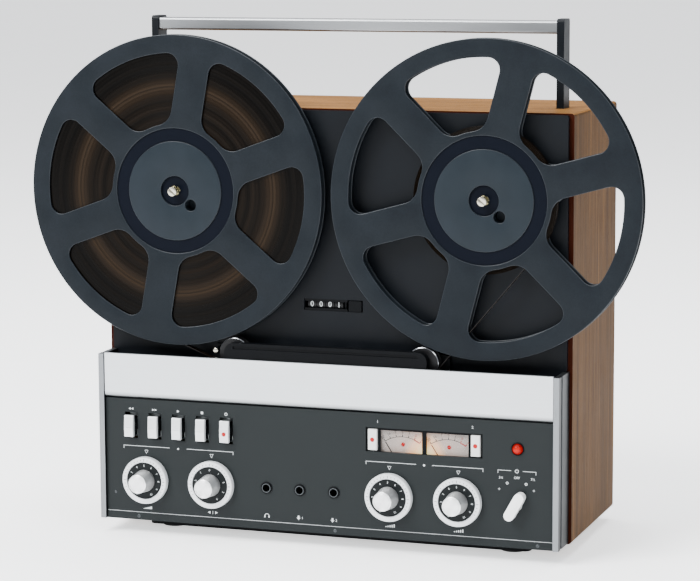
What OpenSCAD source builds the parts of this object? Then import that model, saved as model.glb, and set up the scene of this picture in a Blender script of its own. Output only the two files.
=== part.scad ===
// Upright reel-to-reel tape recorder in a wooden cabinet, with two large spools.
// Millimetres; +X right seen from the front, +Y towards the back, +Z up.
// The origin lies on the floor, midway across the width and the depth.
// Depths are counted from the front face of the housing's trims, positive to the back.

/* [Cabinet] */
// Width of the wooden cabinet
cabinet_w = 414; // [390:1:450]
// Height of the wooden cabinet
cabinet_h = 358.4; // [345:0.2:390]
// Depth of the front edge of the cabinet behind the trims
cabinet_front_d = 34; // [32:0.5:44]
// Length of the cabinet's side from its front edge to its back edge
cabinet_len = 149.5; // [140:0.5:190]
// Thickness of the cabinet's boards
board_t = 14; // [10:0.5:18]
// Radius of the cabinet's long edges
board_edge_r = 3; // [1:0.5:6]
// Height of the rubber feet
foot_h = 3; // [2:0.5:6]
// Radius of the rubber feet
foot_r = 12; // [8:0.5:16]
// Height of the base plinth
plinth_h = 8; // [5:0.5:14]
// Distance of the plinth's ends from the cabinet's sides
plinth_inset = 35; // [10:1:60]

/* [Back] */
// Distance of the rear panel from the cabinet's back edge
rear_recess = 7; // [6:0.5:12]
// Thickness of the rear panel
rear_t = 2; // [1:0.5:4]
// Number of vent slots in a row on the rear panel
vent_count = 14; // [6:1:18]
// Width of a vent slot
vent_w = 6; // [4:0.5:9]
// Length of a vent slot
vent_len = 70; // [30:1:90]
// Pitch of the vent slots
vent_pitch = 18; // [14:0.5:20]
// Pitch of the phono sockets
phono_pitch = 24; // [20:0.5:30]
// Width of the mains inlet
inlet_w = 30; // [24:1:40]
// Height of the mains inlet
inlet_h = 20; // [16:1:28]

/* [Control housing] */
// Width of the control housing over its trims
housing_w = 409; // [386:1:446]
// Height of the control housing from its lower edge to the top of its trims
housing_h = 144.5; // [138:0.5:170]
// Distance of the housing's lower edge above the cabinet's lower edge
housing_lift = 1.4; // [0:0.2:6]
// Width of a trim seen from the front
trim_w = 4.8; // [3:0.2:8]
// Depth of the bright front band of a trim
trim_band_d = 7; // [5:0.5:9]
// Depth at which the side groove ends
trim_groove_end = 11; // [10:0.5:14]
// Depth of the groove into the trim's side
trim_groove = 1.8; // [0.5:0.1:2.5]
// Depth of the panel's front face behind the trims
panel_d = 3; // [2:0.1:4]
// Thickness of the panel
panel_t = 1.5; // [1:0.1:2]
// Height of the panel
panel_h = 106; // [104:0.5:112]
// Gap between the panel and each trim
panel_side_gap = 0.3; // [0.1:0.1:1]
// Height of the folded lip along the panel's lower edge
lip_h = 6.2; // [3:0.2:8]
// Thickness of the housing's folded sheet
sheet_t = 2; // [1:0.1:2.4]

/* [Flap] */
// Height of the flap over the tape path
flap_h = 38.2; // [36:0.2:42]
// Thickness of the flap
flap_t = 2.4; // [1.6:0.1:2.8]
// Depth of the flap's front face
flap_d = 1; // [0.6:0.1:1.4]
// Radius of the rolled lower edge
flap_roll_r = 3.4; // [2.8:0.1:3.6]
// Gap between the flap's roll and the panel
flap_gap = 1; // [0.5:0.1:2]
// Radius of the flap's hinge pins
flap_pin_r = 1.5; // [1:0.1:2]
// Length of a hinge pin inside the trim
flap_pin_len = 2.6; // [1.5:0.1:3]

/* [Transport keys] */
// Place of the first key from the middle
key_first_x = -175.7; // [-178:0.1:-165]
// Distance from key to key
key_pitch = 22; // [18:0.1:23]
// Width of a key
key_w = 8; // [6:0.1:10]
// Height of a key
key_h = 19; // [14:0.2:22]
// Height of the key row above the housing's lower edge
key_row = 82.9; // [78:0.1:87]
// Reach of the key's front face in front of the trims
key_reach = 3.6; // [3:0.1:9]
// Travel of a key
key_travel = 4; // [2:0.1:5]
// Width of the gap round a key in its slot
key_slot_gap = 1.9; // [0.6:0.1:2.4]
// Drop of the front face from its crease to its upper edge
key_crease = 0.8; // [0.2:0.1:1.5]

/* [Dials] */
// Height of the dial row above the housing's lower edge
dial_row = 35.7; // [34:0.1:40]
// Places of the dials from the middle
dial_x = [-162.3, -101.5, 58.3, 118.3];
// Outer radius of a selector ring
ring_r = 20.4; // [18:0.2:23]
// Inner radius of a selector ring
ring_hole_r = 16.1; // [14:0.1:17]
// Reach of a selector ring in front of the trims
ring_reach = 2.6; // [1:0.1:4]
// Radius of a selector ring's sleeve
ring_sleeve_r = 5; // [4.5:0.1:6]
// Radius of a knob at its base
knob_base_r = 10.3; // [8:0.1:12]
// Radius of a knob at its front
knob_front_r = 8.8; // [7:0.1:11]
// Reach of a knob in front of the trims
knob_reach = 17.7; // [12:0.1:22]
// Radius of a dial's shaft
shaft_r = 3; // [2.5:0.1:3.5]
// Radius of a potentiometer's can
pot_r = 11; // [9:0.5:13]
// Depth of a potentiometer's back
pot_back_d = 26; // [24:0.5:30]

/* [Power switch] */
// Place of the power lever from the middle
lever_x = 168.2; // [160:0.2:176]
// Height of the power lever's shaft above the housing's lower edge
lever_row = 36.2; // [32:0.2:44]
// Length of the power lever
lever_len = 25.6; // [22:0.2:36]
// Width of the power lever
lever_w = 9.8; // [8:0.1:12]
// Reach of the power lever in front of the trims
lever_reach = 6.6; // [4:0.1:12]
// Turn of the power lever from upright
lever_turn = 29; // [-54:1:54]
// Place of the lamp from the middle
lamp_x = 169; // [160:0.2:180]
// Height of the lamp above the housing's lower edge
lamp_row = 83.3; // [76:0.2:90]
// Radius of the lamp's jewel
lamp_r = 4.5; // [3:0.1:6]

/* [Jacks] */
// Places of the jacks from the middle
jack_x = [-51.4, -21.4, 9.1];
// Height of the jacks above the housing's lower edge
jack_row = 36; // [30:0.2:42]
// Radius of a jack's bore
jack_bore_r = 3.2; // [2.5:0.05:3.6]
// Radius of a jack's nut
jack_nut_r = 5; // [4.7:0.1:7]
// Reach of a jack's nut in front of the panel
jack_nut_t = 1.6; // [1:0.1:3]
// Length of a jack's bore
jack_len = 26; // [20:0.5:27]

/* [Meters] */
// Place of the meter window's middle
meter_x = 88.3; // [86:0.1:92]
// Width of the window in the panel
window_w = 101.6; // [98:0.2:106]
// Height of the window in the panel
window_h = 20.4; // [19.6:0.2:22]
// Height of the window's middle above the housing's lower edge
window_row = 83.6; // [80:0.2:86]
// Width of a meter's face
face_w = 36.4; // [34:0.1:37]
// Height of a meter's face
face_h = 18.4; // [16:0.1:19]
// Distance between the middles of the two faces
face_pitch = 40.1; // [39:0.1:41]
// Distance from a needle's staff up to the lower edge of the window
staff_drop = 14.7; // [12:0.1:15.5]
// Length of a needle from its staff
needle_len = 27; // [22:0.2:31]
// Turn of a resting needle from upright
needle_rest = 33; // [20:1:36]
// Width of a record preset key
preset_w = 7.8; // [6:0.1:8.4]
// Height of a record preset key
preset_h = 17.8; // [15:0.1:18.6]
// Distance of a preset key's middle from the end of the meter window
preset_inset = 6.05; // [5.5:0.05:7]
// Travel of a preset key
preset_travel = 2.5; // [1:0.1:4]

/* [Deck] */
// Thickness of the deck plate
deck_t = 4; // [3:0.2:5]
// Distance of the deck plate's edges from the cabinet's sides
deck_margin = 4; // [2:0.5:8]
// Distance of the deck plate's upper edge below the cabinet's top
deck_top_gap = 1.4; // [0.6:0.2:4]
// Height of the counter's middle above the cabinet's lower edge
counter_row = 192.5; // [185:0.5:200]
// Width of the counter's window
counter_w = 52.4; // [50:0.2:60]
// Height of the counter's window
counter_h = 10; // [8:0.2:12]
// Radius of a counter wheel
wheel_r = 9.5; // [8:0.1:11]
// Pitch of the counter wheels
wheel_pitch = 8; // [7:0.1:8.2]
// Width of the gap between two counter wheels
wheel_gap = 0.6; // [0.4:0.1:1]
// Place of the first counter wheel from the middle
wheel_first_x = -20; // [-21:0.1:-19]
// Place of the reset button from the middle
reset_x = 19.7; // [18:0.1:20]
// Width of the reset button
reset_w = 11.4; // [8:0.1:12]

/* [Spools] */
// Half the distance between the two spools' axes
spool_x = 136.5; // [134:0.1:140]
// Height of the spools' axes above the cabinet's lower edge
spool_row = 287.25; // [286:0.05:296]
// Radius of a spool
spool_r = 132.5; // [124:0.1:133]
// Depth of the spools' front face
spool_d = 13; // [12:0.1:15]
// Thickness of a flange
flange_t = 2; // [1.2:0.1:2.4]
// Clear width between the flanges
spool_gap = 7; // [6.7:0.1:8]
// Radius of a spool's hub
hub_r = 57; // [55:0.1:60]
// Radius of the hole through a spool
hub_hole_r = 38.4; // [36:0.1:40]
// Outer radius of the sunk ring round the hub
hub_ring_r = 53.4; // [50:0.1:55]
// Depth of the sunk ring
hub_ring_t = 1.2; // [0.6:0.1:1.8]
// Number of windows in a flange
window_count = 6; // [6:1:6]
// Outer radius of a flange's windows
window_outer_r = 117; // [112:0.2:119]
// Inner radius of a flange's windows
window_inner_r = 57.5; // [57.2:0.1:62]
// Width of a spoke between two windows
spoke_w = 28; // [24:0.2:31]
// Radius of a window's outer corners
window_outer_fillet = 10; // [6:0.2:12]
// Radius of a window's inner corners
window_inner_fillet = 15; // [10:0.2:16]
// Turn of the supply spool's windows
supply_turn = -10; // [-30:0.1:30]
// Turn of the take-up spool's windows
takeup_turn = -14.6; // [-30:0.1:30]
// Radius of the tape wound on the supply spool
supply_pack_r = 120; // [70:0.5:122]
// Radius of the tape wound on the take-up spool
takeup_pack_r = 61; // [59:0.5:100]
// Width of the tape
tape_w = 6.3; // [6.2:0.05:6.5]
// Thickness that stands for the tape's free strand
strand_t = 0.3; // [0.2:0.05:0.5]
// Radius of the hub adapter's disc
adapter_r = 42.3; // [40.5:0.1:45]
// Radius of the recess in the middle of the adapter
adapter_recess_r = 12.7; // [10:0.1:13]
// Depth of the recess in the adapter
adapter_recess_t = 2.4; // [1:0.1:3]
// Radius of the finger hole in the adapter
finger_hole_r = 5; // [3:0.1:5.4]
// Distance of the finger hole from the axis
finger_hole_x = 18.6; // [18.4:0.1:24]
// Radius of a spindle
spindle_r = 4; // [3:0.1:5]
// Reach of a spindle's tip in front of the spool
tip_reach = 6; // [4:0.1:8]
// Radius of a turntable
turntable_r = 48; // [44:0.5:54]

/* [Tape path] */
// Half the distance between the two guide rollers
roller_x = 84; // [82:0.1:90]
// Height of the guide rollers' axes above the cabinet's lower edge
roller_row = 149.4; // [146:0.2:152]
// Radius at which the tape runs round a guide roller
roller_r = 12.5; // [10:0.1:13]
// Radius of the posts under the guide rollers
post_r = 4; // [3:0.1:5]
// Gap between the left guide pin and its roller
pin_gap = 0.5; // [0.4:0.1:4]
// Radius of the left guide pin
pin_r = 2.4; // [2:0.1:3.2]
// Length of the head cover
cover_w = 180; // [172:1:192]
// Height of the head cover
cover_h = 18; // [15:0.5:20]
// Thickness of the head cover from front to back
cover_t = 7; // [5:0.2:7.2]
// Radius of the head cover's upper corners
cover_r = 9; // [4:0.5:14]
// Depth of the head cover's front
cover_d = 5.5; // [5:0.1:6]
// Places of the three heads from the middle
head_x = [-48, -16, 16];
// Width of a head
head_w = 15; // [12:0.2:20]
// Height of a head
head_h = 17; // [14:0.2:20]
// Place of the capstan from the middle
capstan_x = 56; // [50:0.5:58]
// Radius of the capstan's shaft
capstan_r = 5; // [3:0.1:6]
// Radius of the pinch roller
pinch_r = 10; // [8:0.1:11]
// Length of the pinch roller's arm
pinch_arm = 38; // [34:0.5:42]
// Drop of the resting pinch roller from the tape
pinch_drop = 4; // [2:0.1:4.6]

/* [Handle] */
// Height of the handle's top above the cabinet's top
handle_rise = 74.4; // [70:0.2:90]
// Height of the handle's bar
bar_h = 10.8; // [8:0.2:14]
// Distance of an arm's inner face from the cabinet's side
arm_edge = 28; // [26:0.2:30]
// Width of an arm seen from the front
arm_w = 6.4; // [5:0.1:8]
// Width of an arm seen from the side
arm_len = 19; // [14:0.5:24]
// Depth of the arms' middle
arm_d = 92.5; // [88:0.5:96]
// Reach of the resting arms below the cabinet's top
arm_inside = 85; // [70:1:100]

/* [Works] */
// Radius of a spooling motor
spool_motor_r = 40; // [30:0.5:41]
// Distance of the spooling motors' back in front of the handle's arms
motor_clear = 3; // [1:0.5:8]
// Radius of the capstan motor
capstan_motor_r = 36; // [28:0.5:36.5]
// Depth of the capstan motor's back
capstan_motor_back = 125; // [100:1:150]
// Width of the power transformer
transformer_w = 76; // [60:1:90]
// Height of the power transformer
transformer_h = 64; // [50:1:66]
// Length of the power transformer
transformer_len = 70; // [50:1:80]
// Width of a circuit board
circuit_w = 190; // [150:1:200]
// Height of a circuit board
circuit_h = 82; // [60:1:84]

/* [Clearances] */
// Gap between pieces that move past each other
gap = 0.3; // [0.2:0.05:0.5]
// Radial gap of a shaft in its bearing
run = 0.06; // [0.03:0.01:0.1]

/* [Hidden] */
$fn = 72;
eps = 0.01;
// Main levels above the floor
cab_z = foot_h + plinth_h;
cab_top = cab_z + cabinet_h;
house_z = cab_z + housing_lift;
house_top = house_z + housing_h;
panel_top = house_z + panel_h;
key_z = house_z + key_row;
dial_z = house_z + dial_row;
lever_z = house_z + lever_row;
lamp_z = house_z + lamp_row;
jack_z = house_z + jack_row;
window_z = house_z + window_row;
staff_z = window_z - window_h / 2 - staff_drop;
counter_z = cab_z + counter_row;
spool_z = cab_z + spool_row;
roller_z = cab_z + roller_row;
inside_z = cab_z + board_t;
// Main depths
cab_back = cabinet_front_d + cabinet_len;
face_y = -(cab_back - knob_reach) / 2;
panel_back = panel_d + panel_t;
deck_d = cabinet_front_d - deck_t;
rear_back = cab_back - rear_recess;
spool_back = spool_d + 2 * flange_t + spool_gap;
tape_mid = spool_d + flange_t + spool_gap / 2;
// Main widths
cab_in = cabinet_w / 2 - board_t;
house_half = housing_w / 2;
open_half = house_half - trim_w;
panel_half = open_half - panel_side_gap;
deck_half = cabinet_w / 2 - deck_margin;
// Flap and its hinge
hinge_z = panel_top + flap_gap + flap_roll_r;
hinge_d = flap_d + flap_roll_r;
flap_top = panel_top + flap_gap + flap_h;
flap_half = open_half - 2 * gap;
// Keys
key_x = [for (i = [0:4]) key_first_x + i * key_pitch];
key_stem = [key_w - 2, key_h - 7];
comb_d = 14;
comb_t = 3;
stem_back = comb_d + comb_t + key_travel + 3;
// Dials
dial_disc_t = 1.2;
dial_disc_d = -ring_reach + gap;
ring_web_d = dial_disc_d + dial_disc_t + gap;
ring_back_d = panel_d - gap;
sleeve_end = 14;
bush_wall = 1.5;
pot_floor = 2;
shaft_end = pot_back_d - pot_floor - gap;
preset_stem_back = comb_d + comb_t + preset_travel + 3;
// Meters
bezel_t = 1.5;
bezel_rim = 5;
pane_t = 0.8;
pane_d = panel_back + bezel_t;
needle_d = pane_d + pane_t + gap;
needle_t = 0.4;
face_d = needle_d + needle_t + gap;
face_t = 0.8;
movement_back = 26;
movement_side = 1.2;
staff_r = 1;
staff_len = 9;
preset_x = [meter_x - window_w / 2 + preset_inset, meter_x + window_w / 2 - preset_inset];
preset_d = panel_d - 1;
preset_stem = [preset_w - 2, preset_h - 7];
preset_gap = 0.4;
face_x = [meter_x - face_pitch / 2, meter_x + face_pitch / 2];
// Counter
wheel_d = cabinet_front_d + gap + sqrt(pow(wheel_r, 2) - pow(counter_h / 2 - gap, 2));
axle_r = 1.5;
counter_wall = 1.5;
reset_h = counter_h - 1;
reset_travel = 3;
reset_front = deck_d - 1;
// Tape path
tape_r = roller_r;
tape_z = roller_z - tape_r;
land_r = roller_r - strand_t / 2 - gap;
roller_flange_r = roller_r + 1.4;
roller_half = tape_w / 2 + 1.2;
pin_x = -roller_x - roller_flange_r - pin_gap - pin_r;
block_t = 4;
block_d = deck_d - block_t;
capstan_z = tape_z + strand_t / 2 + gap + capstan_r;
pinch_z = tape_z - strand_t / 2 - pinch_drop - pinch_r;
pinch_pivot = [capstan_x - pinch_arm, pinch_z];
pinch_axle_r = 2.5;
pinch_pivot_r = 3;
cover_back = cover_d + cover_t;
cover_low = 7.4;
cover_z = roller_z - cover_low;
front_edge = tape_mid - tape_w / 2 - 2.4;
// Handle
handle_top = cab_top + handle_rise;
arm_x = cabinet_w / 2 - arm_edge;
bar_front = arm_d - arm_len / 2 + 1.5;
bar_back = arm_d + arm_len / 2 - 1.5;
// Motors
spool_motor_back = arm_d - arm_len / 2 - motor_clear;
spool_motor_fit = min(spool_motor_r, cab_top - board_t - spool_z - gap);

// Moves a shape from the trims' depth datum to the object's own frame
module from_front() translate([0, face_y, 0]) children();

// Box between two limits on each axis
module block(x, y, z)
  translate([x[0], y[0], z[0]])
    cube([x[1] - x[0], y[1] - y[0], z[1] - z[0]]);

// Round bar along the depth
module rod(r, y0, y1)
  translate([0, y0, 0])
    rotate([-90, 0, 0])
      cylinder(r = r, h = y1 - y0);

// Round bar across the width
module bar_x(r, x0, x1)
  translate([x0, 0, 0])
    rotate([0, 90, 0])
      cylinder(r = r, h = x1 - x0);

// Body of revolution about the depth axis, from points of radius and depth
module turned(points)
  rotate([-90, 0, 0])
    rotate_extrude()
      polygon(points);

// Upright outline given as width and height, pulled through the depth
module pulled(y0, y1)
  translate([0, y1, 0])
    rotate([90, 0, 0])
      linear_extrude(y1 - y0)
        children();

// Rectangle with round corners about its own middle
module round_rect(w, h, r) {
  square([w - 2 * r, h], center = true);
  square([w, h - 2 * r], center = true);
  for (x = [-1, 1], y = [-1, 1])
    translate([x * (w / 2 - r), y * (h / 2 - r)])
      circle(r);
}

// Point at a radius and an angle
function polar(r, a) = [r * cos(a), r * sin(a)];

// Outline in depth and height, pulled across the width
module across(x0, x1)
  translate([x0, 0, 0])
    rotate([90, 0, 90])
      linear_extrude(x1 - x0)
        children();

// Sleeve of four boards with two slots in the top for the handle's arms
module wood_cabinet() color("#7d5f49") from_front() difference() {
  pulled(cabinet_front_d, cab_back)
    translate([0, cab_z + cabinet_h / 2])
      difference() {
        round_rect(cabinet_w, cabinet_h, board_edge_r);
        square([2 * cab_in, cabinet_h - 2 * board_t], center = true);
      }
  for (side = [0, 1])
    mirror([side, 0, 0])
      block([arm_x - gap, arm_x + arm_w + gap],
            [arm_d - arm_len / 2 - gap, arm_d + arm_len / 2 + gap],
            [cab_top - board_t - 1, cab_top + 1]);
}

plinth_half = cabinet_w / 2 - plinth_inset;
plinth_back = cab_back - 8;
plinth_corner_r = 6;

// Low black base, set back under the housing
module base_plinth() color("#1b1b1c") from_front()
  translate([0, (deck_d + plinth_back) / 2, foot_h])
    linear_extrude(plinth_h)
      round_rect(2 * plinth_half, plinth_back - deck_d, plinth_corner_r);

foot_inset = foot_r + plinth_corner_r;
foot_edge = 0.8;

// Four feet under the plinth's corners
module rubber_feet() color("#101010") from_front()
  for (x = [foot_inset - plinth_half, plinth_half - foot_inset], y = [deck_d + foot_inset, plinth_back - foot_inset])
    translate([x, y, 0])
      rotate_extrude()
        polygon([[0, 0], [foot_r - foot_edge, 0], [foot_r, foot_edge], [foot_r, foot_h], [0, foot_h]]);

vent_low = 200;
vent_high = 290;
vent_rows = [inside_z + vent_low, inside_z + vent_high];
phono_first_x = -150;
phono_low = 55;
phono_x = [for (i = [0:3]) phono_first_x + i * phono_pitch];
phono_z = [inside_z + phono_low, inside_z + phono_low + phono_pitch];
phono_body_r = 5;
inlet_x = 120;
inlet_low = 50;
inlet_z = inside_z + inlet_low;
din_x = 20;
din_low = 67;
din_z = inside_z + din_low;
din_r = 9;
fuse_x = 70;
fuse_r = 6.5;

// Sheet with two rows of vent slots and cut-outs for the sockets
module rear_panel() color("#3a3c3e") from_front()
  pulled(rear_back - rear_t, rear_back)
    difference() {
      translate([0, cab_z + cabinet_h / 2])
        square([2 * cab_in - 2 * run, cabinet_h - 2 * board_t - 2 * run], center = true);
      for (i = [0:vent_count - 1], z = vent_rows)
        translate([(i - (vent_count - 1) / 2) * vent_pitch, z])
          round_rect(vent_w, vent_len, vent_w / 2 - eps);
      for (x = phono_x, z = phono_z)
        translate([x, z])
          circle(phono_body_r + run);
      translate([din_x, din_z])
        circle(din_r + run);
      translate([fuse_x, inlet_z])
        circle(fuse_r + run);
      translate([inlet_x, inlet_z])
        square([inlet_w + 2 * run, inlet_h + 2 * run], center = true);
    }

socket_proud = 4.5;
socket_deep = 8;
socket_out = rear_back + socket_proud;
socket_in = rear_back - rear_t - socket_deep;
socket_flange_t = 1;
phono_bore_r = 1.6;
phono_tip_r = 4.2;
phono_flange_r = 7;
phono_short = 2;
din_flange = 3;
din_flange_t = 2;
din_pin_r = 0.8;
din_pin_ring = 5;
din_pin_depth = 4;
fuse_flange = 2;
fuse_cap_r = 5.5;
inlet_wall = 2;
inlet_flange = 3;
inlet_flange_t = 1.5;
inlet_deep = 8;
inlet_floor = 4;
inlet_pin_r = 2;
inlet_pin_x = 5;

// Phono sockets, a round multi-pole socket, a fuse holder and a two-pin mains inlet
module rear_sockets() color("#8d8f92") from_front() {
  for (x = phono_x, z = phono_z)
    translate([x, 0, z])
      turned([[phono_bore_r, socket_in + phono_short], [phono_body_r, socket_in + phono_short],
              [phono_body_r, rear_back], [phono_flange_r, rear_back],
              [phono_flange_r, rear_back + socket_flange_t], [phono_tip_r, rear_back + socket_flange_t],
              [phono_tip_r, socket_out], [phono_bore_r, socket_out]]);
  translate([din_x, 0, din_z])
    difference() {
      turned([[0, socket_in], [din_r, socket_in], [din_r, rear_back], [din_r + din_flange, rear_back],
              [din_r + din_flange, rear_back + din_flange_t], [0, rear_back + din_flange_t]]);
      for (a = [0:45:180])
        translate([din_pin_ring * cos(a), 0, din_pin_ring * sin(a)])
          rod(din_pin_r, rear_back - din_pin_depth, rear_back + din_flange_t + 1);
    }
  translate([fuse_x, 0, inlet_z])
    turned([[0, socket_in], [fuse_r, socket_in], [fuse_r, rear_back], [fuse_r + fuse_flange, rear_back],
            [fuse_r + fuse_flange, rear_back + fuse_flange], [fuse_cap_r, rear_back + fuse_flange],
            [fuse_cap_r, socket_out], [0, socket_out]]);
  translate([inlet_x, 0, inlet_z])
    difference() {
      union() {
        block([-inlet_w / 2, inlet_w / 2], [socket_in - inlet_deep, rear_back], [-inlet_h / 2, inlet_h / 2]);
        block([-inlet_w / 2 - inlet_flange, inlet_w / 2 + inlet_flange], [rear_back, rear_back + inlet_flange_t],
              [-inlet_h / 2 - inlet_flange, inlet_h / 2 + inlet_flange]);
      }
      block([inlet_wall - inlet_w / 2, inlet_w / 2 - inlet_wall], [socket_in - inlet_floor, rear_back + inlet_flange],
            [inlet_wall - inlet_h / 2, inlet_h / 2 - inlet_wall]);
    }
  for (x = [-inlet_pin_x, inlet_pin_x])
    translate([inlet_x + x, 0, inlet_z])
      rod(inlet_pin_r, socket_in - inlet_floor, rear_back - 1);
}

boss_r = 12;
boss_hole_r = boss_r + 2;
deck_top = cab_top - deck_top_gap;
deck_corner_r = 2;
deck_low = house_top + run;

// Black front plate over the cabinet's opening, down to the housing's shelf
module deck_plate() color("#1d2127") from_front()
  pulled(deck_d, cabinet_front_d)
    difference() {
      union() {
        translate([0, (deck_low + deck_top) / 2])
          round_rect(2 * deck_half, deck_top - deck_low, deck_corner_r);
        translate([-panel_half, panel_top])
          square([2 * panel_half, deck_low - panel_top + deck_corner_r]);
      }
      for (x = [-spool_x, spool_x])
        translate([x, spool_z])
          circle(boss_hole_r);
      translate([0, counter_z])
        square([counter_w, counter_h], center = true);
      translate([capstan_x, capstan_z])
        circle(capstan_r + 1);
    }

dial_hole_r = ring_sleeve_r + run + bush_wall;
lever_hole_r = shaft_r + run + bush_wall;
lamp_neck_r = lamp_r - 0.8;
jack_neck_r = jack_nut_r - 0.5;
lip_t = 0.6;

// Sheet with the openings for keys, dials, jacks, lamp, switch and meters
module control_panel() color("#3c4044") from_front() {
  pulled(panel_d, panel_back)
    difference() {
      translate([-panel_half, house_z])
        square([2 * panel_half, panel_h]);
      for (x = key_x)
        translate([x, key_z])
          square([key_w + 2 * key_slot_gap, key_h + 2 * key_slot_gap], center = true);
      for (x = dial_x)
        translate([x, dial_z])
          circle(dial_hole_r);
      translate([lever_x, lever_z])
        circle(lever_hole_r);
      translate([lamp_x, lamp_z])
        circle(lamp_neck_r);
      for (x = jack_x)
        translate([x, jack_z])
          circle(jack_neck_r);
      translate([meter_x, window_z])
        square([window_w, window_h], center = true);
      for (x = preset_x)
        translate([x, window_z])
          square([preset_w + 2 * preset_gap, preset_h + 2 * preset_gap], center = true);
    }
  block([-panel_half, panel_half], [panel_d - lip_t, panel_d], [house_z, house_z + lip_h]);
}

// Two extruded uprights with a side groove and a blind hole for the flap's pin
module side_trims() color("#c9cbcd") from_front()
  for (side = [0, 1])
    mirror([side, 0, 0])
      difference() {
        translate([0, 0, house_z])
          linear_extrude(housing_h)
            polygon([[open_half, 0], [house_half, 0], [house_half, trim_band_d],
                     [house_half - trim_groove, trim_band_d], [house_half - trim_groove, trim_groove_end],
                     [house_half, trim_groove_end], [house_half, cabinet_front_d], [open_half, cabinet_front_d]]);
        translate([0, hinge_d, hinge_z])
          bar_x(flap_pin_r + run, open_half - 1, open_half + flap_pin_len + gap);
      }

// Guide plate with a slot for each stem, hung from the shelf
module comb(places, z, size, stem)
  pulled(comb_d, comb_d + comb_t)
    difference() {
      translate([places[0] - size[0] / 2 - 2, z - size[1] / 2 - 2])
        square([places[len(places) - 1] - places[0] + size[0] + 4, panel_top - z + size[1] / 2 + 1]);
      for (x = places)
        translate([x, z])
          square([stem[0] + 2 * gap, stem[1] + 2 * gap], center = true);
    }

// Folded sheet behind the panel with the guide combs of the keys
module housing_shell() color("#55595c") from_front() {
  difference() {
    block([-panel_half, panel_half], [panel_back, cabinet_front_d], [house_z, panel_top]);
    block([sheet_t - panel_half, panel_half - sheet_t], [panel_back - 1, cabinet_front_d + 1],
          [house_z + sheet_t, panel_top - sheet_t]);
  }
  comb(key_x, key_z, [key_w, key_h], key_stem);
  for (x = preset_x)
    comb([x], window_z, [preset_w, preset_h], preset_stem);
}

flap_lip = 1;
flap_lip_t = 1.6;

// Plate with a rolled lower edge, a turned-in upper edge and two hinge pins
module head_flap() color("#cdced0") from_front() {
  across(-flap_half, flap_half) {
    translate([hinge_d, hinge_z])
      circle(flap_roll_r);
    translate([flap_d, hinge_z])
      square([flap_t, flap_top - hinge_z]);
    translate([flap_d, flap_top - flap_lip_t])
      square([flap_t + flap_lip, flap_lip_t]);
  }
  for (side = [0, 1])
    mirror([side, 0, 0])
      translate([0, hinge_d, hinge_z])
        bar_x(flap_pin_r, flap_half - 1, open_half + flap_pin_len);
}

key_fall = 0.4;
key_crease_z = -0.1 * key_h;
key_cap_back = panel_back + 2;

// Key with a creased front and a stem that slides in the comb
module key(x) color("#d6d7d8") from_front() translate([x, 0, key_z]) {
  across(-key_w / 2, key_w / 2)
    polygon([[key_crease - key_reach, key_h / 2], [-key_reach, key_crease_z], [key_fall - key_reach, -key_h / 2],
             [key_cap_back, -key_h / 2], [key_cap_back, key_h / 2]]);
  block([-key_stem[0] / 2, key_stem[0] / 2], [key_cap_back - eps, stem_back], [-key_stem[1] / 2, key_stem[1] / 2]);
}

module rewind_key() key(key_x[0]);
module forward_key() key(key_x[1]);
module play_key() key(key_x[2]);
module stop_key() key(key_x[3]);
module record_key() key(key_x[4]);

ring_edge = 1;
ring_bore_r = shaft_r + run;

// Outer selector ring with the sleeve that turns in the potentiometer's bush
module selector_ring(x) color("#dfe0e1") from_front() translate([x, 0, dial_z])
  turned([[ring_bore_r, ring_web_d], [ring_hole_r, ring_web_d], [ring_hole_r, -ring_reach],
          [ring_r - ring_edge, -ring_reach], [ring_r, ring_edge - ring_reach], [ring_r, ring_back_d],
          [ring_sleeve_r, ring_back_d], [ring_sleeve_r, sleeve_end], [ring_bore_r, sleeve_end]]);

module volume_ring() selector_ring(dial_x[0]);
module balance_ring() selector_ring(dial_x[1]);
module left_level_ring() selector_ring(dial_x[2]);
module right_level_ring() selector_ring(dial_x[3]);

knob_edge = 0.5;
dial_r = ring_hole_r - gap;
dial_back_d = dial_disc_d + dial_disc_t;

// Tapered knob, its dial disc and its shaft in one piece
module dial(x) color("#b9bbbd") from_front() translate([x, 0, dial_z])
  turned([[0, -knob_reach], [knob_front_r - knob_edge, -knob_reach], [knob_front_r, knob_edge - knob_reach],
          [knob_base_r, dial_disc_d], [dial_r, dial_disc_d], [dial_r, dial_back_d], [shaft_r, dial_back_d],
          [shaft_r, shaft_end], [0, shaft_end]]);

module volume_dial() dial(dial_x[0]);
module balance_dial() dial(dial_x[1]);
module left_level_dial() dial(dial_x[2]);
module right_level_dial() dial(dial_x[3]);

lever_back = 1.5;
lever_edge = 0.8;
lever_boss_r = lever_w / 2;

// Flat bar with round ends
module capsule(w, l) {
  square([w, l - w], center = true);
  for (end = [-1, 1])
    translate([0, end * (l - w) / 2])
      circle(w / 2);
}

// Bar knob on the shaft of the power switch
module power_lever() color("#e2e2e0") from_front() translate([lever_x, 0, lever_z]) {
  pulled(lever_edge - lever_reach, lever_back)
    rotate(-lever_turn)
      capsule(lever_w, lever_len);
  pulled(-lever_reach, lever_edge - lever_reach + eps)
    rotate(-lever_turn)
      capsule(lever_w - 2 * lever_edge, lever_len - 2 * lever_edge);
  rod(lever_boss_r, lever_back - eps, panel_d - gap);
  rod(shaft_r, panel_d - gap - eps, shaft_end);
}

lamp_back = 14;

// Domed jewel in its holder
module lamp_jewel() color("#e0301c") from_front() translate([lamp_x, 0, lamp_z]) {
  translate([0, panel_d, 0])
    intersection() {
      sphere(lamp_r);
      block([-lamp_r - 1, lamp_r + 1], [-lamp_r - 1, 0], [-lamp_r - 1, lamp_r + 1]);
    }
  rod(lamp_neck_r, panel_d - eps, lamp_back);
}

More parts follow.
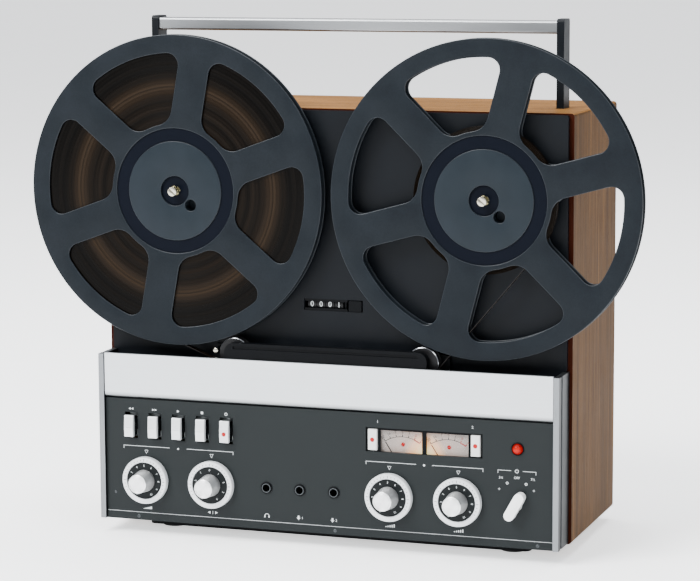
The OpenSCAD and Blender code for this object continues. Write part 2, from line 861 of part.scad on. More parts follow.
jack_front = panel_d - jack_nut_t;
jack_body_r = jack_nut_r + 1;
jack_floor = 2;

// Three panel jacks, each a threaded neck with a nut and a closed body
module jack_sockets() color("#1c1c1e") from_front()
  for (x = jack_x)
    translate([x, 0, jack_z])
      turned([[jack_bore_r, jack_front], [jack_nut_r - 0.5, jack_front], [jack_nut_r, jack_front + 0.5],
              [jack_nut_r, panel_d], [jack_neck_r, panel_d], [jack_neck_r, panel_back], [jack_body_r, panel_back],
              [jack_body_r, jack_front + jack_len + jack_floor], [0, jack_front + jack_len + jack_floor],
              [0, jack_front + jack_len], [jack_bore_r, jack_front + jack_len]]);

bush_bore_r = ring_sleeve_r + run;

// Cans of the four double potentiometers and of the power switch
module potentiometers() color("#9a9c9e") from_front() {
  for (x = dial_x)
    translate([x, 0, dial_z])
      turned([[bush_bore_r, panel_d], [dial_hole_r, panel_d], [dial_hole_r, panel_back], [pot_r, panel_back],
              [pot_r, pot_back_d], [0, pot_back_d], [0, shaft_end + gap], [ring_bore_r, shaft_end + gap],
              [ring_bore_r, sleeve_end + gap], [bush_bore_r, sleeve_end + gap]]);
  translate([lever_x, 0, lever_z])
    turned([[ring_bore_r, panel_d], [lever_hole_r, panel_d], [lever_hole_r, panel_back], [pot_r, panel_back],
            [pot_r, pot_back_d], [0, pot_back_d], [0, shaft_end + gap], [ring_bore_r, shaft_end + gap]]);
}

face_z = window_z - (window_h - face_h) / 2;

// Black plate behind the panel's window with openings for the faces and the preset keys
module meter_bezel() color("#141415") from_front()
  pulled(panel_back, pane_d)
    difference() {
      translate([meter_x, window_z])
        square([window_w + 2 * bezel_rim, window_h + 2 * bezel_rim], center = true);
      for (x = face_x)
        translate([x, face_z])
          square([face_w, face_h], center = true);
      for (x = preset_x)
        translate([x, window_z])
          square([preset_w + 2 * preset_gap, preset_h + 2 * preset_gap], center = true);
    }

pane_lap = 0.8;

// Clear pane behind the bezel
module meter_window() color([0.8, 0.9, 0.9, 0.3]) from_front()
  block([face_x[0] - face_w / 2 - pane_lap, face_x[1] + face_w / 2 + pane_lap], [pane_d, pane_d + pane_t],
        [face_z - face_h / 2 - bezel_rim + 1, face_z + face_h / 2 + bezel_rim - 1]);

movement_half = face_w / 2 - movement_side;
movement_low = 8;
movement_top = bezel_rim - 1;

// Two printed faces, each on the can of its movement
module meter_faces() color("#efe2cf") from_front()
  for (x = face_x)
    difference() {
      union() {
        block([x - face_w / 2 - pane_lap, x + face_w / 2 + pane_lap], [face_d, face_d + face_t],
              [face_z - face_h / 2 - 1, face_z + face_h / 2 + 1]);
        block([x - movement_half, x + movement_half], [face_d + face_t - eps, movement_back],
              [staff_z - movement_low, face_z + face_h / 2 + movement_top]);
        block([x - movement_half, x + movement_half], [pane_d + pane_t, face_d + face_t + 1],
              [face_z + face_h / 2 + 1 - eps, face_z + face_h / 2 + movement_top]);
      }
      translate([x, 0, staff_z])
        rod(staff_r + run, face_d - 1, needle_d + staff_len + gap);
    }

needle_hub_r = 2.2;
needle_tail = 4;
needle_root = 0.5;
needle_tip = 0.25;

// Needle with its staff
module needle(x) color("#202020") from_front() translate([x, 0, staff_z]) {
  pulled(needle_d, needle_d + needle_t)
    rotate(needle_rest) {
      polygon([[-needle_root, -needle_tail], [needle_root, -needle_tail], [needle_tip, needle_len],
               [-needle_tip, needle_len]]);
      circle(needle_hub_r);
    }
  rod(staff_r, needle_d + needle_t - eps, needle_d + staff_len);
}

module left_needle() needle(face_x[0]);
module right_needle() needle(face_x[1]);

preset_back = pane_d + 2;

// Small key beside a meter with its stem
module preset_key(x) color("#ececec") from_front() translate([x, 0, window_z]) {
  block([-preset_w / 2, preset_w / 2], [preset_d, preset_back], [-preset_h / 2, preset_h / 2]);
  block([-preset_stem[0] / 2, preset_stem[0] / 2], [preset_back - eps, preset_stem_back],
        [-preset_stem[1] / 2, preset_stem[1] / 2]);
}

module left_preset_key() preset_key(preset_x[0]);
module right_preset_key() preset_key(preset_x[1]);

counter_half = counter_w / 2;
counter_tall = wheel_r + 1;
counter_back = wheel_d + wheel_r + 1.5;
counter_split = wheel_first_x + 3.5 * wheel_pitch + 1;
reset_stem_r = 2.5;
reset_back = cabinet_front_d + 2;

// Open box behind the deck's window with the wheels' axle and a guide for the reset button
module counter_frame() color("#17181a") from_front() translate([0, 0, counter_z]) {
  difference() {
    block([-counter_half - counter_wall, counter_half + counter_wall], [cabinet_front_d, counter_back + counter_wall],
          [-counter_tall - counter_wall, counter_tall + counter_wall]);
    block([-counter_half, counter_split], [cabinet_front_d - 1, counter_back], [-counter_tall, counter_tall]);
    block([counter_split + counter_wall, counter_half], [cabinet_front_d - 1, counter_back],
          [-counter_tall, counter_tall]);
    translate([reset_x, 0, 0])
      rod(reset_stem_r + run, counter_back - 1, counter_back + counter_wall + 1);
  }
  translate([0, wheel_d, 0])
    bar_x(axle_r, -counter_half - eps, counter_split + eps);
}

// Numbered wheel on the counter's axle
module counter_wheel(i) color("#202123") from_front()
  translate([wheel_first_x + i * wheel_pitch, wheel_d, counter_z])
    difference() {
      bar_x(wheel_r, (wheel_gap - wheel_pitch) / 2, (wheel_pitch - wheel_gap) / 2);
      bar_x(axle_r + run, -wheel_pitch, wheel_pitch);
    }

module thousands_wheel() counter_wheel(0);
module hundreds_wheel() counter_wheel(1);
module tens_wheel() counter_wheel(2);
module units_wheel() counter_wheel(3);

// Push button beside the wheels with a round stem
module reset_button() color("#0f1011") from_front() translate([reset_x, 0, counter_z]) {
  pulled(reset_front, reset_back)
    round_rect(reset_w, reset_h, 1);
  rod(reset_stem_r, reset_back - eps, counter_back + counter_wall + reset_travel);
}

block_left = pin_x - 8;
block_right = roller_x + 20;
block_low = panel_top + gap;
block_top = roller_z + 6;
post_cap_r = 4.8;
post_cap_d = tape_mid - roller_half - gap - 1;
cover_post_x = [-63, 36];
cover_post_r = 3;
cover_wall = 2;
pinch_arm_t = 3;
pinch_arm_d = block_d - gap - pinch_arm_t;
pinch_cap_r = 4.5;

// Cast plate on the deck with the posts of the rollers, the cover and the pinch arm
module head_block() color("#2a2d30") from_front() {
  pulled(block_d, deck_d)
    difference() {
      translate([(block_left + block_right) / 2, (block_low + block_top) / 2])
        round_rect(block_right - block_left, block_top - block_low, 4);
      translate([capstan_x, capstan_z])
        circle(capstan_r + 1);
    }
  for (x = [-roller_x, roller_x])
    translate([x, 0, roller_z]) {
      rod(post_r, post_cap_d, block_d + eps);
      rod(post_cap_r, post_cap_d, post_cap_d + 1);
    }
  translate([pin_x, 0, roller_z + 2])
    rod(pin_r, front_edge, block_d + eps);
  for (x = cover_post_x)
    translate([x, 0, roller_z + 1])
      rod(cover_post_r, cover_d + cover_wall, block_d + eps);
  translate([pinch_pivot[0], 0, pinch_pivot[1]]) {
    rod(pinch_pivot_r, pinch_arm_d - gap - 1, block_d + eps);
    rod(pinch_cap_r, pinch_arm_d - gap - 1, pinch_arm_d - gap);
  }
}

cover_groove_t = 1;
cover_groove_h = 2.4;
cover_groove_drop = 5;
cover_corner_r = min(cover_r, cover_h / 2 - 1);

// Hollow bar in front of the heads with a groove along its front
module head_cover() color("#1a1b1d") from_front() translate([0, 0, cover_z + cover_h / 2])
  difference() {
    pulled(cover_d, cover_back)
      round_rect(cover_w, cover_h, cover_corner_r);
    pulled(cover_d + cover_wall, cover_back + 1)
      round_rect(cover_w - 2 * cover_wall, cover_h - 2 * cover_wall, cover_corner_r - cover_wall);
    block([cover_corner_r - cover_w / 2, cover_w / 2 - cover_corner_r], [cover_d - 1, cover_d + cover_groove_t],
          [cover_h / 2 - cover_groove_drop, cover_h / 2 - cover_groove_drop + cover_groove_h]);
  }

head_low = tape_z + strand_t / 2 + gap;
head_nose_r = 6;
head_half = tape_w / 2 + 2;
head_stem_r = 3;

// Three heads with round noses towards the tape, each on its stem
module tape_heads() color("#b0aca4") from_front()
  for (x = head_x) {
    translate([x, 0, 0])
      pulled(tape_mid - head_half, tape_mid + head_half) {
        translate([0, head_low + head_nose_r])
          circle(head_nose_r);
        translate([-head_w / 2, head_low + head_nose_r])
          square([head_w, head_h - head_nose_r]);
      }
    translate([x, 0, head_low + head_h - head_stem_r - 1])
      rod(head_stem_r, tape_mid + head_half - eps, block_d);
  }

supply_run_r = supply_pack_r + gap + strand_t / 2;
takeup_run_r = takeup_pack_r + gap + strand_t / 2;
supply_c = [-spool_x, spool_z];
takeup_c = [spool_x, spool_z];
left_c = [-roller_x, roller_z];
right_c = [roller_x, roller_z];
arc_step = 6;

// Angle of the outer tangent's normal between two circles, to the right hand side of the way from a to b
function tangent_normal(a, ra, b, rb) =
  atan2(b[1] - a[1], b[0] - a[0]) - acos((ra - rb) / norm(b - a));

left_angle = tangent_normal(supply_c, supply_run_r, left_c, tape_r);
right_angle = tangent_normal(right_c, tape_r, takeup_c, takeup_run_r);

// Points of one face of the strand, shifted outwards from the tape's middle
function strand_face(shift) = concat(
  [supply_c + polar(supply_run_r + shift, left_angle)],
  [for (i = [0:arc_step]) left_c + polar(tape_r + shift, left_angle + (-90 - left_angle) * i / arc_step)],
  [for (i = [0:arc_step]) right_c + polar(tape_r + shift, -90 + (right_angle + 90) * i / arc_step)],
  [takeup_c + polar(takeup_run_r + shift, right_angle)]);

function reversed(points) = [for (i = [len(points) - 1:-1:0]) points[i]];

// Free tape from the full spool under both rollers to the empty spool
module tape_strand() color("#3b2a20") from_front()
  pulled(tape_mid - tape_w / 2, tape_mid + tape_w / 2)
    polygon(concat(strand_face(strand_t / 2), reversed(strand_face(-strand_t / 2))));

roller_lip = 1;
roller_front = tape_mid - roller_half;
roller_back = tape_mid + roller_half;

// Flanged roller on its post
module guide_roller(x) color("#d8d8da") from_front() translate([x, 0, roller_z])
  turned([[post_r + run, roller_front], [roller_flange_r, roller_front], [roller_flange_r, roller_front + roller_lip],
          [land_r, roller_front + roller_lip], [land_r, roller_back - roller_lip],
          [roller_flange_r, roller_back - roller_lip], [roller_flange_r, roller_back], [post_r + run, roller_back]]);

module left_guide_roller() guide_roller(-roller_x);
module right_guide_roller() guide_roller(roller_x);

flywheel_t = 8;
flywheel_r = capstan_motor_r - 4;

// Capstan shaft with its flywheel behind the motor
module capstan() color("#d0d2d4") from_front() translate([capstan_x, 0, capstan_z]) {
  rod(capstan_r, front_edge, capstan_motor_back + gap + eps);
  rod(flywheel_r, capstan_motor_back + gap, capstan_motor_back + gap + flywheel_t);
}

pinch_front = tape_mid - tape_w / 2 - 1;
pinch_back = pinch_arm_d - gap;

// Arm on its pivot with the pinch roller's axle
module pinch_arm() color("#9c9ea0") from_front() translate([pinch_pivot[0], 0, pinch_pivot[1]]) {
  pulled(pinch_arm_d, pinch_arm_d + pinch_arm_t)
    difference() {
      union() {
        circle(7);
        translate([pinch_arm, 0])
          circle(6);
        translate([0, -5])
          square([pinch_arm, 10]);
      }
      circle(pinch_pivot_r + run);
    }
  translate([pinch_arm, 0, 0])
    rod(pinch_axle_r, pinch_front - 1, pinch_arm_d + eps);
}

// Rubber roller on the arm's axle
module pinch_roller() color("#1d1d1d") from_front() translate([capstan_x, 0, pinch_z])
  turned([[pinch_axle_r + run, pinch_front], [pinch_r, pinch_front], [pinch_r, pinch_back],
          [pinch_axle_r + run, pinch_back]]);

half_step = 180 / window_count;
outer_fillet_r = window_outer_r - window_outer_fillet;
inner_fillet_r = window_inner_r + window_inner_fillet;
outer_fillet_a = half_step - asin((spoke_w / 2 + window_outer_fillet) / outer_fillet_r);
inner_fillet_a = half_step - asin((spoke_w / 2 + window_inner_fillet) / inner_fillet_r);
fillet_steps = 7;
rim_steps = 8;

function mirrored(p) = [p[0], -p[1]];
function arc(c, r, from, to, steps) = [for (i = [0:steps]) c + polar(r, from + (to - from) * i / steps)];

// One side of a window: the inner corner, the edge along the spoke and the outer corner
window_side = concat(
  arc(polar(inner_fillet_r, inner_fillet_a), window_inner_fillet, inner_fillet_a + 180, half_step + 90, fillet_steps),
  arc(polar(outer_fillet_r, outer_fillet_a), window_outer_fillet, half_step + 90, outer_fillet_a, fillet_steps));

// Outline of a window along the first axis, with round corners and a rim in line with the spool
window_outline = concat(
  window_side,
  [for (i = [1:rim_steps - 1]) polar(window_outer_r, outer_fillet_a * (1 - 2 * i / rim_steps))],
  [for (p = reversed(window_side)) mirrored(p)],
  [polar(window_inner_r, 0)]);

spool_edge = 0.6;

// Two flanges on a hub, with a sunk ring round the hole and windows between spokes
module spool(x, turn) color("#4a5058") from_front() translate([x, 0, spool_z])
  rotate([0, -turn, 0])
    difference() {
      turned([[hub_hole_r, spool_d + hub_ring_t], [hub_ring_r, spool_d + hub_ring_t], [hub_ring_r, spool_d],
              [spool_r - spool_edge, spool_d], [spool_r, spool_d + spool_edge], [spool_r, spool_d + flange_t],
              [hub_r, spool_d + flange_t], [hub_r, spool_back - flange_t], [spool_r, spool_back - flange_t],
              [spool_r, spool_back - spool_edge], [spool_r - spool_edge, spool_back], [hub_hole_r, spool_back]]);
      pulled(spool_d - 1, spool_back + 1)
        for (i = [0:window_count - 1])
          rotate(i * 2 * half_step)
            polygon(window_outline);
    }

module supply_spool() spool(-spool_x, supply_turn);
module takeup_spool() spool(spool_x, takeup_turn);

// Tape wound on a hub
module tape_pack(x, r) color("#2e211a") from_front() translate([x, 0, spool_z])
  turned([[hub_r + run, tape_mid - tape_w / 2], [r, tape_mid - tape_w / 2], [r, tape_mid + tape_w / 2],
          [hub_r + run, tape_mid + tape_w / 2]]);

module supply_tape() tape_pack(-spool_x, supply_pack_r);
module takeup_tape() tape_pack(spool_x, takeup_pack_r);

adapter_seat = spool_d + hub_ring_t;
adapter_plug_r = hub_hole_r - run;
adapter_floor = spool_d + adapter_recess_t;
adapter_back = spool_back - run;
turntable_t = 3;
turntable_back = spool_back + turntable_t;
boss_back = cabinet_front_d - 1;
spindle_back = spool_motor_back - 4;
lobe_r = 0.48 * spindle_r;
lobe_x = 0.66 * spindle_r;
tip_core_r = 0.55 * spindle_r;
tip_front = spool_d - tip_reach;
tip_slot_w = 1;
tip_slot_t = 1.2;

// Hub adapter with a middle recess and a finger hole
module adapter(turn)
  difference() {
    turned([[spindle_r + run, adapter_floor], [adapter_recess_r, adapter_floor], [adapter_recess_r, spool_d],
            [adapter_r - spool_edge, spool_d], [adapter_r, spool_d + spool_edge], [adapter_r, adapter_seat],
            [adapter_plug_r, adapter_seat], [adapter_plug_r, adapter_back], [spindle_r + run, adapter_back]]);
    rotate([0, half_step - turn, 0])
      translate([finger_hole_x, 0, 0])
        rod(finger_hole_r, spool_d - 1, spool_back + 1);
  }

// Turntable, its spindle with a three-lobed slotted tip, and the hub adapter
module turntable(x, turn) color("#6c7178") from_front() translate([x, 0, spool_z]) {
  adapter(turn);
  difference() {
    union() {
      turned([[0, adapter_floor], [spindle_r, adapter_floor], [spindle_r, spool_back], [turntable_r, spool_back],
              [turntable_r, turntable_back], [boss_r, turntable_back], [boss_r, boss_back], [spindle_r, boss_back],
              [spindle_r, spindle_back], [0, spindle_back]]);
      rod(tip_core_r, tip_front, adapter_floor + eps);
      for (a = [90, 210, 330])
        translate([lobe_x * cos(a), 0, lobe_x * sin(a)])
          rod(lobe_r, tip_front + 1, adapter_floor - gap);
    }
    block([-spindle_r, spindle_r], [tip_front - 1, tip_front + tip_slot_t], [-tip_slot_w / 2, tip_slot_w / 2]);
  }
}

module supply_turntable() turntable(-spool_x, supply_turn);
module takeup_turntable() turntable(spool_x, takeup_turn);

bar_drop = 1.8;
bar_edge_r = 2;
bar_z = handle_top - bar_drop - bar_h / 2;

// Grip across the two arms
module handle_bar() color("#c4c4c2") from_front()
  across(-arm_x, arm_x)
    translate([arm_d, bar_z])
      round_rect(bar_back - bar_front, bar_h, bar_edge_r);

arm_low = cab_top - arm_inside;
arm_edge_r = 3;

// Two flat arms that slide in the cabinet's slots
module handle_arms() color("#2b2c2e") from_front()
  for (side = [0, 1])
    mirror([side, 0, 0])
      across(arm_x, arm_x + arm_w)
        translate([arm_d, (arm_low + handle_top) / 2])
          round_rect(arm_len, handle_top - arm_low, arm_edge_r);

motor_boss_r = 20;
motor_front = cabinet_front_d + 2;
motor_edge = 4;
motor_floor = 2;

// Can with a mounting boss on the deck and a bearing for its shaft
module motor(r, bore, back, blind)
  turned(concat([[bore, cabinet_front_d], [motor_boss_r, cabinet_front_d], [motor_boss_r, motor_front],
                 [max(r - motor_edge, motor_boss_r), motor_front], [r, motor_front + motor_edge], [r, back - motor_edge],
                 [r - motor_edge, back]],
                blind ? [[0, back], [0, back - motor_floor], [bore, back - motor_floor]] : [[bore, back]]));

// Two spooling motors and the capstan motor behind the deck
module drive_motors() color("#a3a5a7") from_front() {
  for (x = [-spool_x, spool_x])
    translate([x, 0, spool_z])
      motor(spool_motor_fit, spindle_r + run, spool_motor_back, true);
  translate([capstan_x, 0, capstan_z])
    motor(capstan_motor_r, capstan_r + run, capstan_motor_back, false);
}

transformer_x = -120;
transformer_d = 75;
core_share = 0.4;

// Laminated core standing on the cabinet's floor, with its winding in front and behind
module power_transformer() color("#6d5a48") from_front() translate([transformer_x, transformer_d, inside_z]) {
  block([-transformer_w / 2, transformer_w / 2], [0, transformer_len * core_share], [0, transformer_h]);
  block([-transformer_w / 4, transformer_w / 4],
        [-transformer_len * (1 - core_share) / 2, transformer_len * (1 + core_share) / 2],
        [transformer_h / 5, transformer_h * 4 / 5]);
}

circuit_x = 80;
circuit_d = [66, 92, 118];
circuit_t = 2;
part_h = 10;
part_pitch = 24;

// Upright circuit boards standing on the cabinet's floor, each with a row of parts
module circuit_boards() color("#3f6a45") from_front()
  for (d = circuit_d)
    translate([circuit_x, d, inside_z]) {
      block([-circuit_w / 2, circuit_w / 2], [0, circuit_t], [0, circuit_h]);
      for (i = [0:6])
        translate([(i - 3) * part_pitch, 0, circuit_h / 2])
          rod(5, circuit_t - eps, circuit_t + part_h);
    }

wood_cabinet();
base_plinth();
rubber_feet();
rear_panel();
rear_sockets();
deck_plate();
control_panel();
side_trims();
housing_shell();
head_flap();
rewind_key();
forward_key();
play_key();
stop_key();
record_key();
volume_ring();
balance_ring();
left_level_ring();
right_level_ring();
volume_dial();
balance_dial();
left_level_dial();
right_level_dial();
power_lever();
lamp_jewel();
jack_sockets();
potentiometers();
meter_bezel();
meter_window();
meter_faces();
left_needle();
right_needle();
left_preset_key();
right_preset_key();
counter_frame();
thousands_wheel();
hundreds_wheel();
tens_wheel();
units_wheel();
reset_button();
head_block();
head_cover();
tape_heads();
tape_strand();
left_guide_roller();
right_guide_roller();
capstan();
pinch_arm();
pinch_roller();
supply_spool();
supply_tape();
supply_turntable();
takeup_spool();
takeup_tape();
takeup_turntable();
handle_bar();
handle_arms();
drive_motors();
power_transformer();
circuit_boards();
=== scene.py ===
"""Dresses an upright reel-to-reel tape recorder: finishes, pieces, printed marks and studio."""
import logging
import math
from collections.abc import Callable, Iterable, Sequence
from dataclasses import dataclass, field
from enum import Enum

import bmesh
import bpy
from bmesh.types import BMEdge, BMFace, BMVert
from mathutils import Matrix, Vector


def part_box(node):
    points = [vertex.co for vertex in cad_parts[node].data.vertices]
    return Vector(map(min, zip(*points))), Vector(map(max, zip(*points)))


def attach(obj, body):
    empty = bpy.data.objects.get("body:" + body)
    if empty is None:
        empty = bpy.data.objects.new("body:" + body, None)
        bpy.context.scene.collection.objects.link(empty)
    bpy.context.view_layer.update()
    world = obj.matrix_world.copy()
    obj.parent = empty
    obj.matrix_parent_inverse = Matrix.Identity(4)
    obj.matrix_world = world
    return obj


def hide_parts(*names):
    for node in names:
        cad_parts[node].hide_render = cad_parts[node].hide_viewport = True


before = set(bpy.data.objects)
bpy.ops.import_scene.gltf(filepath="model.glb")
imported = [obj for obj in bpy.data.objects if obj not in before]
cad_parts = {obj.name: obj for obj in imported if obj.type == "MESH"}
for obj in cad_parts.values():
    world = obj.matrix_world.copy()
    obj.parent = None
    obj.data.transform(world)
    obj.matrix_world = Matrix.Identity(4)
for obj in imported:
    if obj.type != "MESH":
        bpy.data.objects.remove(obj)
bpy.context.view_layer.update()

LOG = logging.getLogger("recorder")

# Meshes are modelled in millimetres and brought to metres when they are placed.
MM = 0.001
Point = tuple[float, float]
Outline = Sequence[Point]
Colour = tuple[float, float, float]
# Thickness of a printed mark
PRINT = 0.06
# How far a dark sheet of painted shade lies in front of the recessed face that it darkens
SHADE_OFFSET = 0.05
# Depth of the frame's origin behind the housing's front plane
ORIGIN_DEPTH = 82.9
# Depth of the control panel's face
PANEL_DEPTH = 3.0
# Middle of the record lamp on the panel
LAMP_AT = (169.0, 95.7)


@dataclass(frozen=True)
class Box:
    """Where a CAD node lies at rest, in millimetres."""

    lo: Vector
    hi: Vector

    @classmethod
    def of(cls, node: str) -> "Box":
        """The box of one CAD node."""
        lo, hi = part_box(node)
        return cls(lo / MM, hi / MM)

    @property
    def size(self) -> Vector:
        """Length of the box along each axis."""
        return self.hi - self.lo


def polar(radius: float, degrees: float, centre: Point = (0.0, 0.0)) -> Point:
    """A point on a circle, counted from the first axis towards the second.

    Args:
        radius: Distance from the centre.
        degrees: Angle from the first axis.
        centre: Middle of the circle.

    Returns:
        The point.
    """
    turn = math.radians(degrees)
    return centre[0] + radius * math.cos(turn), centre[1] + radius * math.sin(turn)


def arc(centre: Point, radius: float, start: float, end: float, steps: int) -> list[Point]:
    """Points along an arc, both ends included.

    Args:
        centre: Middle of the arc.
        radius: Radius of the arc.
        start: First angle in degrees.
        end: Last angle in degrees.
        steps: Number of chords.

    Returns:
        The points in order.
    """
    return [polar(radius, start + (end - start) * i / steps, centre) for i in range(steps + 1)]


def circle(centre: Point, radius: float, steps: int) -> list[Point]:
    """A closed round outline without a repeated last point."""
    return arc(centre, radius, 0, 360, steps)[:-1]


def oblong(centre: Point, width: float, height: float, corner: float, steps: int = 5) -> list[Point]:
    """A rectangle's outline with round corners.

    Args:
        centre: Middle of the rectangle.
        width: Length along the first axis.
        height: Length along the second axis.
        corner: Radius of the corners.
        steps: Chords in each corner.

    Returns:
        The closed outline without a repeated last point.
    """
    points: list[Point] = []
    for k, (sx, sz) in enumerate(((1, 1), (-1, 1), (-1, -1), (1, -1))):
        middle = (centre[0] + sx * (width / 2 - corner), centre[1] + sz * (height / 2 - corner))
        points += arc(middle, corner, 90 * k, 90 * k + 90, steps)
    return points


class Piece:
    """A mesh made in millimetres in the frame's axes, which then rides on a CAD body."""

    def __init__(self, name: str) -> None:
        """Starts an empty mesh.

        Args:
            name: Name of the piece.
        """
        self.name = name
        self.bm = bmesh.new()

    def turn(self, profile: Outline, centre: Vector, steps: int = 96, closed: bool = False) -> None:
        """Spins a profile about an axis along Y.

        Args:
            profile: Points as (radius, y).
            centre: A point of the axis.
            steps: Number of steps in the full turn.
            closed: Whether the last point joins the first.
        """
        verts = [self.bm.verts.new((centre.x + r, y, centre.z)) for r, y in profile]
        edges = [self.bm.edges.new(pair) for pair in zip(verts, verts[1:])]
        if closed:
            edges.append(self.bm.edges.new((verts[-1], verts[0])))
        bmesh.ops.spin(self.bm, geom=verts + edges, cent=centre, axis=(0, 1, 0), angle=math.tau,
                       steps=steps, use_merge=True, use_duplicate=False)

    def plate(self, outline: Outline, front: float, back: float,
              holes: Iterable[Outline] = ()) -> list[BMVert]:
        """Pulls an upright outline, with any holes, from one depth to another.

        Args:
            outline: Points as (x, z).
            front: First y.
            back: Last y.
            holes: Closed outlines that stay open.

        Returns:
            The new vertices.
        """
        before = set(self.bm.verts)
        edges: list[BMEdge] = []
        for loop in (outline, *holes):
            verts = [self.bm.verts.new((x, front, z)) for x, z in loop]
            edges += [self.bm.edges.new((verts[i - 1], verts[i])) for i in range(len(verts))]
        filled = bmesh.ops.triangle_fill(self.bm, edges=edges, use_beauty=True, use_dissolve=False)
        faces = [g for g in filled["geom"] if isinstance(g, BMFace)]
        self._pull(faces, Vector((0, back - front, 0)))
        return [v for v in self.bm.verts if v not in before]

    def bar(self, outline: Outline, start: float, end: float) -> None:
        """Pulls an outline across the width.

        Args:
            outline: Points as (y, z).
            start: First x.
            end: Last x.
        """
        face = self.bm.faces.new([self.bm.verts.new((start, y, z)) for y, z in outline])
        self._pull([face], Vector((end - start, 0, 0)))

    def _pull(self, faces: list[BMFace], way: Vector) -> None:
        """Extrudes faces into a closed wall along a vector."""
        made = bmesh.ops.extrude_face_region(self.bm, geom=faces)
        moved = [g for g in made["geom"] if isinstance(g, BMVert)]
        bmesh.ops.translate(self.bm, verts=moved, vec=way)

    def block(self, lo: Sequence[float], hi: Sequence[float]) -> list[BMVert]:
        """Adds a box between two corners and returns its vertices."""
        low, high = Vector(lo), Vector(hi)
        place = Matrix.Translation((low + high) / 2) @ Matrix.Diagonal((*(high - low), 1))
        return bmesh.ops.create_cube(self.bm, size=1, matrix=place)["verts"]

    def figure(self, text: str, height: float, place: Matrix) -> list[BMVert]:
        """Adds plain figures or a short word, made a mesh before their place is applied.

        Args:
            text: What is written.
            height: Nominal height of the type.
            place: Takes the flat figures, which lie in XY, to where they go.

        Returns:
            The new vertices.
        """
        curve = bpy.data.curves.new("figure", "FONT")
        curve.body = text
        curve.size = height
        curve.align_x = "CENTER"
        curve.align_y = "CENTER"
        curve.resolution_u = 3
        curve.extrude = PRINT / 2
        holder = bpy.data.objects.new("figure", curve)
        mesh = bpy.data.meshes.new_from_object(holder)
        before = set(self.bm.verts)
        self.bm.from_mesh(mesh)
        verts = [v for v in self.bm.verts if v not in before]
        bmesh.ops.transform(self.bm, matrix=place, verts=verts)
        bpy.data.objects.remove(holder)
        bpy.data.curves.remove(curve)
        bpy.data.meshes.remove(mesh)
        return verts

    def rotate(self, verts: list[BMVert], centre: Vector, axis: str, degrees: float) -> None:
        """Turns vertices about an axis through a point."""
        turn = Matrix.Rotation(math.radians(degrees), 3, axis)
        bmesh.ops.rotate(self.bm, verts=verts, cent=centre, matrix=turn)

    def soften(self, width: float, segments: int, over: float,
               only: Callable[[BMEdge], bool] | None = None, mark: bool = False) -> None:
        """Rounds the edges that are sharper than an angle.

        Args:
            width: Width of the rounding.
            segments: Faces across it.
            over: Least angle between the faces, in degrees.
            only: Test that an edge has to pass as well.
            mark: Whether the rounding takes the finish of the edges.
        """
        bmesh.ops.remove_doubles(self.bm, verts=self.bm.verts, dist=0.0005)
        bmesh.ops.recalc_face_normals(self.bm, faces=self.bm.faces)
        edges = [e for e in self.bm.edges if e.is_manifold and e.calc_face_angle() > math.radians(over)
                 and (only is None or only(e))]
        made = bmesh.ops.bevel(self.bm, geom=edges, offset=width, offset_type="OFFSET", affect="EDGES",
                               segments=segments, profile=0.5, material=-1, clamp_overlap=True)
        if mark:
            for face in made["faces"]:
                face.material_index = 1

    def place(self, body: str, finish: "Finish", replaces: Sequence[str] = (), smooth: float = 35.0,
              edges: "Finish | None" = None) -> None:
        """Brings the mesh to metres, gives it its finish and lets it ride on a body.

        Args:
            body: CAD body that carries the piece.
            finish: Finish of the whole piece.
            replaces: CAD nodes that the piece stands for.
            smooth: Edges under this angle, in degrees, are shaded smooth.
            edges: Finish of the marked roundings.
        """
        bmesh.ops.remove_doubles(self.bm, verts=self.bm.verts, dist=0.0005)
        bmesh.ops.dissolve_degenerate(self.bm, edges=self.bm.edges, dist=0.0002)
        bmesh.ops.recalc_face_normals(self.bm, faces=self.bm.faces)
        bmesh.ops.scale(self.bm, vec=(MM, MM, MM), verts=self.bm.verts)
        mesh = bpy.data.meshes.new(self.name)
        self.bm.to_mesh(mesh)
        self.bm.free()
        mesh.polygons.foreach_set("use_smooth", [True] * len(mesh.polygons))
        mesh.set_sharp_from_angle(angle=math.radians(smooth))
        for layer in (finish, edges):
            if layer:
                mesh.materials.append(layer.material())
        thing = bpy.data.objects.new(self.name, mesh)
        bpy.context.scene.collection.objects.link(thing)
        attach(thing, body)
        if replaces:
            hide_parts(*replaces)
        LOG.info("%s rides on %s", self.name, body)


def shade(code: str) -> Colour:
    """A colour in linear light from its six-figure screen code."""
    parts = [int(code[i:i + 2], 16) / 255 for i in (1, 3, 5)]
    red, green, blue = (c / 12.92 if c <= 0.04045 else ((c + 0.055) / 1.055) ** 2.4 for c in parts)
    return red, green, blue


class Axis(Enum):
    """A direction that a grain or a brush stroke follows."""

    X = 0
    Y = 1
    Z = 2

    def stretch(self, along: float, across: float) -> tuple[float, float, float]:
        """Scale of a pattern, slow along this direction and quick across it."""
        scale = [across] * 3
        scale[self.value] = along
        return scale[0], scale[1], scale[2]


# Range that most of a noise's values lie in
NOISE = (0.3, 0.7)
Socket = bpy.types.NodeSocket


